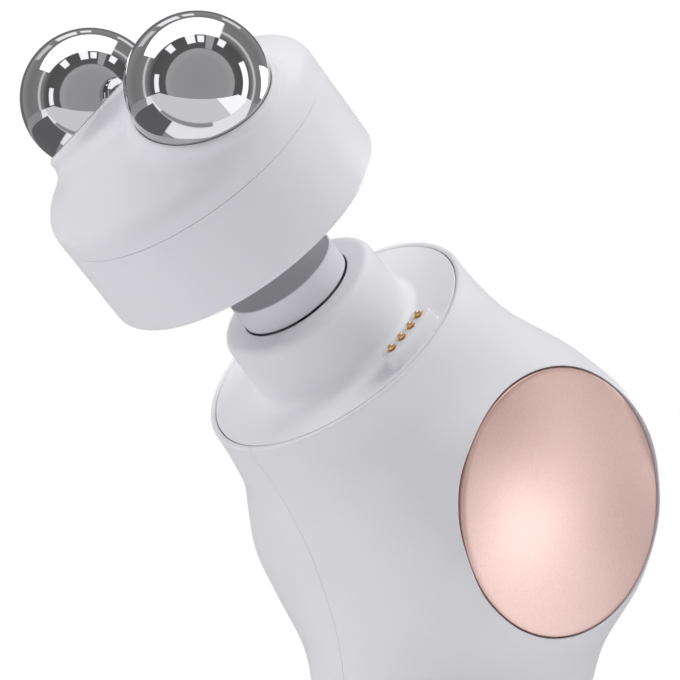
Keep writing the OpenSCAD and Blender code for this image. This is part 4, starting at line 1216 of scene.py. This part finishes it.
class TONING_OT_ring(bpy.types.Operator):
    """Makes the toning ring's drum and crown"""

    bl_idname = "toning.ring"
    bl_label = "Toning ring"

    def execute(self, context):
        ring = sizes().ring_radius / MM
        inner = ring - RING_WALL
        sleeve = WELL_RADIUS + SLEEVE_THICKNESS
        drum = lathe("ring_drum", rounded([
            (WELL_RADIUS, 0, 0.3), (ring, 0, 1.0), (ring, RING_SIDE - 0.02, 0.12),
            (inner, RING_SIDE - 0.02, 0), (inner, RING_FLOOR, 0), (sleeve, RING_FLOOR, 0),
            (sleeve, RING_SIDE, 0),
            (WELL_RADIUS, RING_SIDE, 0)]), place_ring(), steps=256)
        pocket_rows = []
        for z in (-0.5, POCKET_TOP):
            loop = []
            for radius, ways in ((PIN_ARC_RADIUS - POCKET_CLEARANCE, 1), (inner - 0.01, -1)):
                for k in range(25):
                    a = math.radians(POCKET_HALF_TURN * ways * (2 * k / 24 - 1))
                    loop.append((radius * math.cos(a), radius * math.sin(a), z))
            pocket_rows.append(loop)
        carve(drum, [rows_solid("pocket", pocket_rows, place_ring())])
        soften(drum)
        white = materials()["satin_ring"]
        finish_piece(drum, white, "ring_white", "toning_ring", "ring_base")

        crown = crown_blank()
        under = lathe("under_cutter", rounded([
            (0, -12, 0), (ring + 3, -12, 0), (ring + 3, RING_SIDE - 0.1, 0),
            (ring - 0.02, RING_SIDE + 0.08, 0), (ring - 0.12, RING_SIDE, 0),
            (inner, RING_SIDE, 0), (inner, 16.8, 0), (0, 16.8, 0)]), place_ring(), steps=192)
        carve(crown, [under, cup_cutter(1), cup_cutter(-1)])
        to_ring = place_ring().inverted() @ Matrix.Scale(1 / MM, 4)
        spots = np.array([to_ring @ v.co for v in crown.data.vertices])
        off = np.abs(crown_distance(spots))
        turn = np.array(place_ring().to_3x3())
        ways = crown_gradient(spots) @ turn.T
        table = {tuple(round(c, 8) for c in v.co): Vector(ways[i]) if off[i] < 0.02 else None
                 for i, v in enumerate(crown.data.vertices)}
        skin_normals(crown, lambda co: table[tuple(round(c, 8) for c in co)])
        finish_piece(crown, white, "ring_white", "toning_ring", "ring_cover")
        return {"FINISHED"}


class TONING_OT_balls(bpy.types.Operator):
    """Makes the two chrome ball electrodes"""

    bl_idname = "toning.balls"
    bl_label = "Ball electrodes"

    def execute(self, context):
        radius = sizes().ball_radius / MM
        for side, name, node in ((1, "ball_right", "right_ball"), (-1, "ball_left", "left_ball")):
            profile = []
            for k in range(97):
                a = math.pi * k / 96
                profile.append((radius * math.sin(a) if 0 < k < 96 else 0.0,
                                -radius * math.cos(a)))
            place = place_ring() @ Matrix.Translation(
                (side * sizes().ball_offset / MM, 0, BALL_HEIGHT))
            ball = lathe(name, profile, place, steps=192)
            ball.data.shade_smooth()
            finish_piece(ball, materials()["mirror_chrome"], "ball_chrome", "toning_ring", node)
        return {"FINISHED"}


# ------------------------------------------------------------------ inner pieces

INNER_FINISHES = {
    "plain_steel": ("shell_screws", "charge_socket", "motor_housing", "motor_bracket",
                    "bracket_screws", "plate_magnets", "motor_shaft", "crank_pin",
                    "plunger_shaft", "wrist_pin", "ring_steel"),
    "solder_mask": ("display_module", "button_board", "main_board", "inlet_board",
                    "contact_board", "ring_board"),
    "dark_moulding": ("button_switches", "board_chips", "battery_cradle", "contact_block"),
    "foot_rubber": ("dust_seal",),
    "sintered_bronze": ("shaft_bushing", "crank_wheel"),
    "copper_winding": ("motor_stator",),
    "rotor_laminations": ("motor_rotor",),
    "acetal": ("connecting_rod",),
    "cell_sleeve": ("battery_cell",),
    "gold_plate": ("contact_pads",),
}


class TONING_OT_inner_pieces(bpy.types.Operator):
    """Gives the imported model's inner pieces their finishes"""

    bl_idname = "toning.inner_pieces"
    bl_label = "Inner pieces"

    def execute(self, context):
        for name, nodes in INNER_FINISHES.items():
            for node in nodes:
                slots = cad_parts[node].material_slots
                for slot in slots:
                    slot.material = materials()[name]
        return {"FINISHED"}


# ------------------------------------------------------------------ stage

CAMERA_PLACE = (0.35625, -0.3124, 0.0987)
CAMERA_RIGHT = (0.6311, 0.7757, 0.0085)
CAMERA_FORWARD = (-0.7757, 0.6310, 0.0084)
CAMERA_LENS = 144.54
STAGE_CENTRE = Vector((0.0, -0.02, 0.09))
LAMP_SIZE = 0.55
SHEEN_LAMP_PLACE = Vector((0.40, 0.19, 0.03))
SHEEN_LAMP_SIZE = 0.14
FLOOR_REACH = 6.0


def view_point(right, up, near, reach):
    """A point of the stage, from the camera's own directions."""
    side = Vector(CAMERA_RIGHT).normalized()
    back = -Vector(CAMERA_FORWARD).normalized()
    way = (side * right + Vector((0, 0, 1)) * up + back * near).normalized()
    return STAGE_CENTRE + way * reach


def sheen_group():
    """The collection of the pieces that the sheen lamp lights."""
    name = "plates_with_sheen"
    return bpy.data.collections.get(name) or bpy.data.collections.new(name)


def area_lamp(name, place, size, power):
    """A round lamp aimed at the stage, hidden from the camera and from gloss."""
    lamp = bpy.data.lights.new(name, "AREA")
    lamp.shape = "DISK"
    lamp.size = size
    lamp.energy = power
    holder = bpy.data.objects.new(name, lamp)
    bpy.context.scene.collection.objects.link(holder)
    holder.location = place
    holder.rotation_euler = (STAGE_CENTRE - place).to_track_quat("-Z", "Y").to_euler()
    holder.visible_glossy = False
    holder.visible_camera = False
    return holder


def shown_white(nodes, links):
    """1 for rays from the camera and for those that gloss or glass sends on."""
    path = nodes.new("ShaderNodeLightPath")
    total = path.outputs["Is Camera Ray"]
    for name in ("Is Glossy Ray", "Is Transmission Ray"):
        both = nodes.new("ShaderNodeMath")
        both.operation = "MAXIMUM"
        links.new(total, both.inputs[0])
        links.new(path.outputs[name], both.inputs[1])
        total = both.outputs[0]
    return total


def make_world():
    world = bpy.data.worlds.new("soft_sky")
    bpy.context.scene.world = world
    world.use_nodes = True
    nodes, links = world.node_tree.nodes, world.node_tree.links
    nodes.clear()
    lit = nodes.new("ShaderNodeBackground")
    lit.inputs["Strength"].default_value = studio().sky_level
    seen = nodes.new("ShaderNodeBackground")
    seen.inputs["Strength"].default_value = 1.0
    lit.inputs["Color"].default_value = (0.97, 0.97, 1, 1)
    seen.inputs["Color"].default_value = (1, 1, 1, 1)
    mix = nodes.new("ShaderNodeMixShader")
    out = nodes.new("ShaderNodeOutputWorld")
    links.new(shown_white(nodes, links), mix.inputs[0])
    links.new(lit.outputs[0], mix.inputs[1])
    links.new(seen.outputs[0], mix.inputs[2])
    links.new(mix.outputs[0], out.inputs[0])


def floor_material():
    """Pale floor that keeps the shadow near the object and runs out to plain white."""
    material, nodes, links, shader = new_material("floor_white")
    shader.inputs["Base Color"].default_value = (0.86, 0.86, 0.87, 1)
    shader.inputs["Roughness"].default_value = 0.6
    where = nodes.new("ShaderNodeTexCoord")
    length = nodes.new("ShaderNodeVectorMath")
    length.operation = "LENGTH"
    links.new(where.outputs["Object"], length.inputs[0])
    far = nodes.new("ShaderNodeMapRange")
    far.inputs["From Min"].default_value = 0.12
    far.inputs["From Max"].default_value = 0.30
    links.new(length.outputs["Value"], far.inputs["Value"])
    share = nodes.new("ShaderNodeMath")
    share.operation = "MULTIPLY"
    links.new(shown_white(nodes, links), share.inputs[0])
    links.new(far.outputs["Result"], share.inputs[1])
    glow = nodes.new("ShaderNodeEmission")
    glow.inputs["Strength"].default_value = 1.0
    mix = nodes.new("ShaderNodeMixShader")
    links.new(share.outputs[0], mix.inputs[0])
    links.new(shader.outputs[0], mix.inputs[1])
    links.new(glow.outputs[0], mix.inputs[2])
    links.new(mix.outputs[0], nodes["Material Output"].inputs["Surface"])
    return material


def calculated(nodes, links, operation, *values):
    node = nodes.new("ShaderNodeMath")
    node.operation = operation
    for socket, value in zip(node.inputs, values):
        if isinstance(value, (int, float)):
            socket.default_value = value
        else:
            links.new(value, socket)
    return node.outputs[0]


def edge(nodes, links, value, start, end):
    """0 up to start, 1 from end, with a soft run between them; end may lie below start."""
    node = nodes.new("ShaderNodeMapRange")
    node.interpolation_type = "SMOOTHSTEP"
    low, high, first = (start, end, 0.0) if start < end else (end, start, 1.0)
    node.inputs["From Min"].default_value = low
    node.inputs["From Max"].default_value = high
    node.inputs["To Min"].default_value = first
    node.inputs["To Max"].default_value = 1.0 - first
    links.new(value, node.inputs["Value"])
    return node.outputs["Result"]


def window(nodes, links, value, low, high, soft):
    """1 between low and high, with soft edges."""
    return calculated(nodes, links, "MULTIPLY",
                      edge(nodes, links, value, low - soft, low + soft),
                      edge(nodes, links, value, high + soft, high - soft))


# The set that polished surfaces see: levels by angle from its pole, in degrees. The pole lies a
# little to the right of the camera, and turns go anticlockwise from the right of the view.
SET_POLE_TURN = math.radians(7)
SET_BANDS = ((0, 0.42), (40, 0.44), (50, 0.50), (53, 0.48), (54, 0.14), (78, 0.12), (84, 0.22),
             (90, 0.34), (92, 0.82), (95, 0.82), (97, 0.30), (118, 0.26), (142, 0.34), (150, 0.17),
             (180, 0.17))
# Patches on it: turn, half its width, nearest and farthest angle from the pole, level
SET_PATCHES = (
    (77, 5, 54, 84, 0.50), (128.5, 4.5, 64, 78, 1.5), (101, 5.5, 63, 79, 1.5),
    (88.5, 4, 64, 76, 1.5), (62.5, 4.5, 66, 79, 1.5), (6, 24, 69, 80, 1.7),
    (178, 12, 65, 73, 1.4), (131, 8, 124, 138, 0.8), (109, 8, 127, 141, 1.2),
    (94, 4, 130, 139, 1.2), (63, 7, 130, 140, 1.0), (8, 14, 112, 150, 4.0),
)
SET_RADIUS = 1.6
SET_SOFTNESS = math.radians(0.6)
BOX_SOFTNESS = 0.03
# Flat boxes over and under the set, in shares of their distance: low and high across, low and
# high towards the camera, level
SET_OVERHEAD = ((-1.6, 0.41, -0.6, 0.2, 2.2),)
SET_TABLE = (
    (-4.9, 4.2, 0.5, 2.25, 0.9), (1.1, 4.2, 0.5, 2.25, 1.5),
    (-4.9, 4.2, -0.3, 0.5, 1.2), (-4.9, 4.2, -30.0, -0.3, 0.4),
    (-1.5, 0.35, 0.33, 0.5, 0.4), (-2.7, -0.75, -30.0, 0.31, 0.16),
)


def reflection_set():
    """A dome round the stage that only polished surfaces see: soft boxes over a grey set."""
    tool = bmesh.new()
    bmesh.ops.create_uvsphere(tool, u_segments=48, v_segments=24, radius=SET_RADIUS)
    mesh = bpy.data.meshes.new("reflection_set")
    tool.to_mesh(mesh)
    tool.free()
    dome = bpy.data.objects.new("reflection_set", mesh)
    bpy.context.scene.collection.objects.link(dome)
    forward = Vector(CAMERA_FORWARD).normalized()
    right = Vector(CAMERA_RIGHT).normalized()
    up = right.cross(forward).normalized()
    dome.matrix_world = (Matrix.Translation(STAGE_CENTRE)
                         @ Matrix((right, up, -forward)).transposed().to_4x4()
                         @ Matrix.Rotation(SET_POLE_TURN, 4, "Y"))
    material, nodes, links, _ = new_material("reflection_set")
    where = nodes.new("ShaderNodeTexCoord")
    way = nodes.new("ShaderNodeVectorMath")
    way.operation = "NORMALIZE"
    links.new(where.outputs["Object"], way.inputs[0])
    part = nodes.new("ShaderNodeSeparateXYZ")
    links.new(way.outputs["Vector"], part.inputs[0])
    x, y, z = part.outputs["X"], part.outputs["Y"], part.outputs["Z"]
    off_pole = calculated(nodes, links, "ARCCOSINE", z)
    turn = calculated(nodes, links, "ARCTAN2", y, x)
    ramp = nodes.new("ShaderNodeValToRGB")
    marks = ramp.color_ramp.elements
    marks[0].position, marks[1].position = 0.0, 1.0
    for angle, level in SET_BANDS:
        mark = (marks[0] if angle == 0 else marks[len(marks) - 1] if angle == 180
                else marks.new(angle / 180))
        mark.color = (level, level, level, 1)
    links.new(calculated(nodes, links, "DIVIDE", off_pole, math.pi), ramp.inputs["Fac"])
    shade = ramp.outputs["Color"]

    def over(shade, mask, level):
        mix = nodes.new("ShaderNodeMix")
        mix.data_type = "RGBA"
        links.new(mask, mix.inputs["Factor"])
        links.new(shade, mix.inputs["A"])
        mix.inputs["B"].default_value = (level, level, level * 1.02, 1)
        return mix.outputs["Result"]

    soft = SET_SOFTNESS
    for middle, half, near, far, level in SET_PATCHES:
        facing = calculated(nodes, links, "COSINE",
                            calculated(nodes, links, "SUBTRACT", turn, math.radians(middle)))
        across = edge(nodes, links, facing, math.cos(math.radians(half) + soft),
                      math.cos(math.radians(half) - soft))
        along = window(nodes, links, off_pole, math.radians(near), math.radians(far), soft)
        shade = over(shade, calculated(nodes, links, "MULTIPLY", across, along), level)
    under = calculated(nodes, links, "MULTIPLY", y, -1.0)
    for height, boxes in ((y, SET_OVERHEAD), (under, SET_TABLE)):
        reach = calculated(nodes, links, "MAXIMUM", height, 0.02)
        on_side = edge(nodes, links, height, 0.04, 0.08)
        for low, high, back, front, level in boxes:
            across = window(nodes, links, calculated(nodes, links, "DIVIDE", x, reach),
                            low, high, BOX_SOFTNESS)
            along = window(nodes, links, calculated(nodes, links, "DIVIDE", z, reach),
                           back, front, BOX_SOFTNESS)
            mask = calculated(nodes, links, "MULTIPLY", across, along)
            shade = over(shade, calculated(nodes, links, "MULTIPLY", mask, on_side), level)
    glow = nodes.new("ShaderNodeEmission")
    links.new(shade, glow.inputs["Color"])
    links.new(glow.outputs[0], nodes["Material Output"].inputs["Surface"])
    mesh.materials.append(material)
    dome.visible_camera = False
    dome.visible_diffuse = False
    dome.visible_shadow = False
    dome.visible_transmission = False


class TONING_OT_stage(bpy.types.Operator):
    """Sets the floor, sky, lamps, reflection set and camera"""

    bl_idname = "toning.stage"
    bl_label = "Stage"

    def execute(self, context):
        scene = context.scene
        scene.view_settings.view_transform = "Standard"
        make_world()
        mesh = bpy.data.meshes.new("floor")
        mesh.from_pydata([(-FLOOR_REACH, -FLOOR_REACH, 0), (FLOOR_REACH, -FLOOR_REACH, 0),
                          (FLOOR_REACH, FLOOR_REACH, 0), (-FLOOR_REACH, FLOOR_REACH, 0)],
                         [], [(0, 1, 2, 3)])
        floor = bpy.data.objects.new("floor", mesh)
        scene.collection.objects.link(floor)
        mesh.materials.append(floor_material())
        floor.visible_glossy = False  # polished surfaces see the reflection set in its place
        area_lamp("left_lamp", view_point(-0.95, 0.35, -0.05, 0.8), LAMP_SIZE,
                  studio().left_power)
        area_lamp("top_lamp", view_point(0.42, 0.9, 0.05, 0.9), LAMP_SIZE, studio().top_power)
        # Lights the side plates alone, which no other light of the stage does.
        sheen = area_lamp("sheen_lamp", SHEEN_LAMP_PLACE, SHEEN_LAMP_SIZE, studio().sheen_power)
        sheen.visible_glossy = True
        sheen.light_linking.receiver_collection = sheen_group()
        reflection_set()
        camera_data = bpy.data.cameras.new("camera")
        camera_data.lens = CAMERA_LENS
        camera_data.sensor_width = 36.0
        camera_data.clip_start = 0.01
        camera = bpy.data.objects.new("camera", camera_data)
        scene.collection.objects.link(camera)
        forward = Vector(CAMERA_FORWARD).normalized()
        right = Vector(CAMERA_RIGHT).normalized()
        up = right.cross(forward).normalized()
        right = forward.cross(up)
        turn = Matrix((right, up, -forward)).transposed()
        camera.matrix_world = Matrix.Translation(CAMERA_PLACE) @ turn.to_4x4()
        scene.camera = camera
        return {"FINISHED"}


# ------------------------------------------------------------------ add-on

STEPS = (TONING_OT_stage, TONING_OT_housing, TONING_OT_face_plate, TONING_OT_contacts,
         TONING_OT_plunger, TONING_OT_side_plates, TONING_OT_controls, TONING_OT_foot,
         TONING_OT_ring, TONING_OT_balls, TONING_OT_inner_pieces)


class TONING_PT_panel(bpy.types.Panel):
    """Lists the steps that build the device"""

    bl_idname = "TONING_PT_panel"
    bl_label = "Toning device"
    bl_space_type = "VIEW_3D"
    bl_region_type = "UI"
    bl_category = "Toning device"

    def draw(self, context):
        for group in (sizes(), colours(), studio()):
            box = self.layout.box()
            for name in group.__annotations__:
                box.prop(group, name)
        for step in STEPS:
            self.layout.operator(step.bl_idname)


CLASSES = (DeviceSizes, DeviceColours, StudioSettings) + STEPS + (TONING_PT_panel,)


def register():
    for made in CLASSES:
        bpy.utils.register_class(made)
    bpy.types.Scene.toning_sizes = PointerProperty(type=DeviceSizes)
    bpy.types.Scene.toning_colours = PointerProperty(type=DeviceColours)
    bpy.types.Scene.toning_studio = PointerProperty(type=StudioSettings)


def unregister():
    del bpy.types.Scene.toning_sizes
    del bpy.types.Scene.toning_colours
    del bpy.types.Scene.toning_studio
    for made in reversed(CLASSES):
        bpy.utils.unregister_class(made)


def main():
    register()
    for step in STEPS:
        group, name = step.bl_idname.split(".")
        getattr(getattr(bpy.ops, group), name)()


if __name__ == "__main__":
    main()
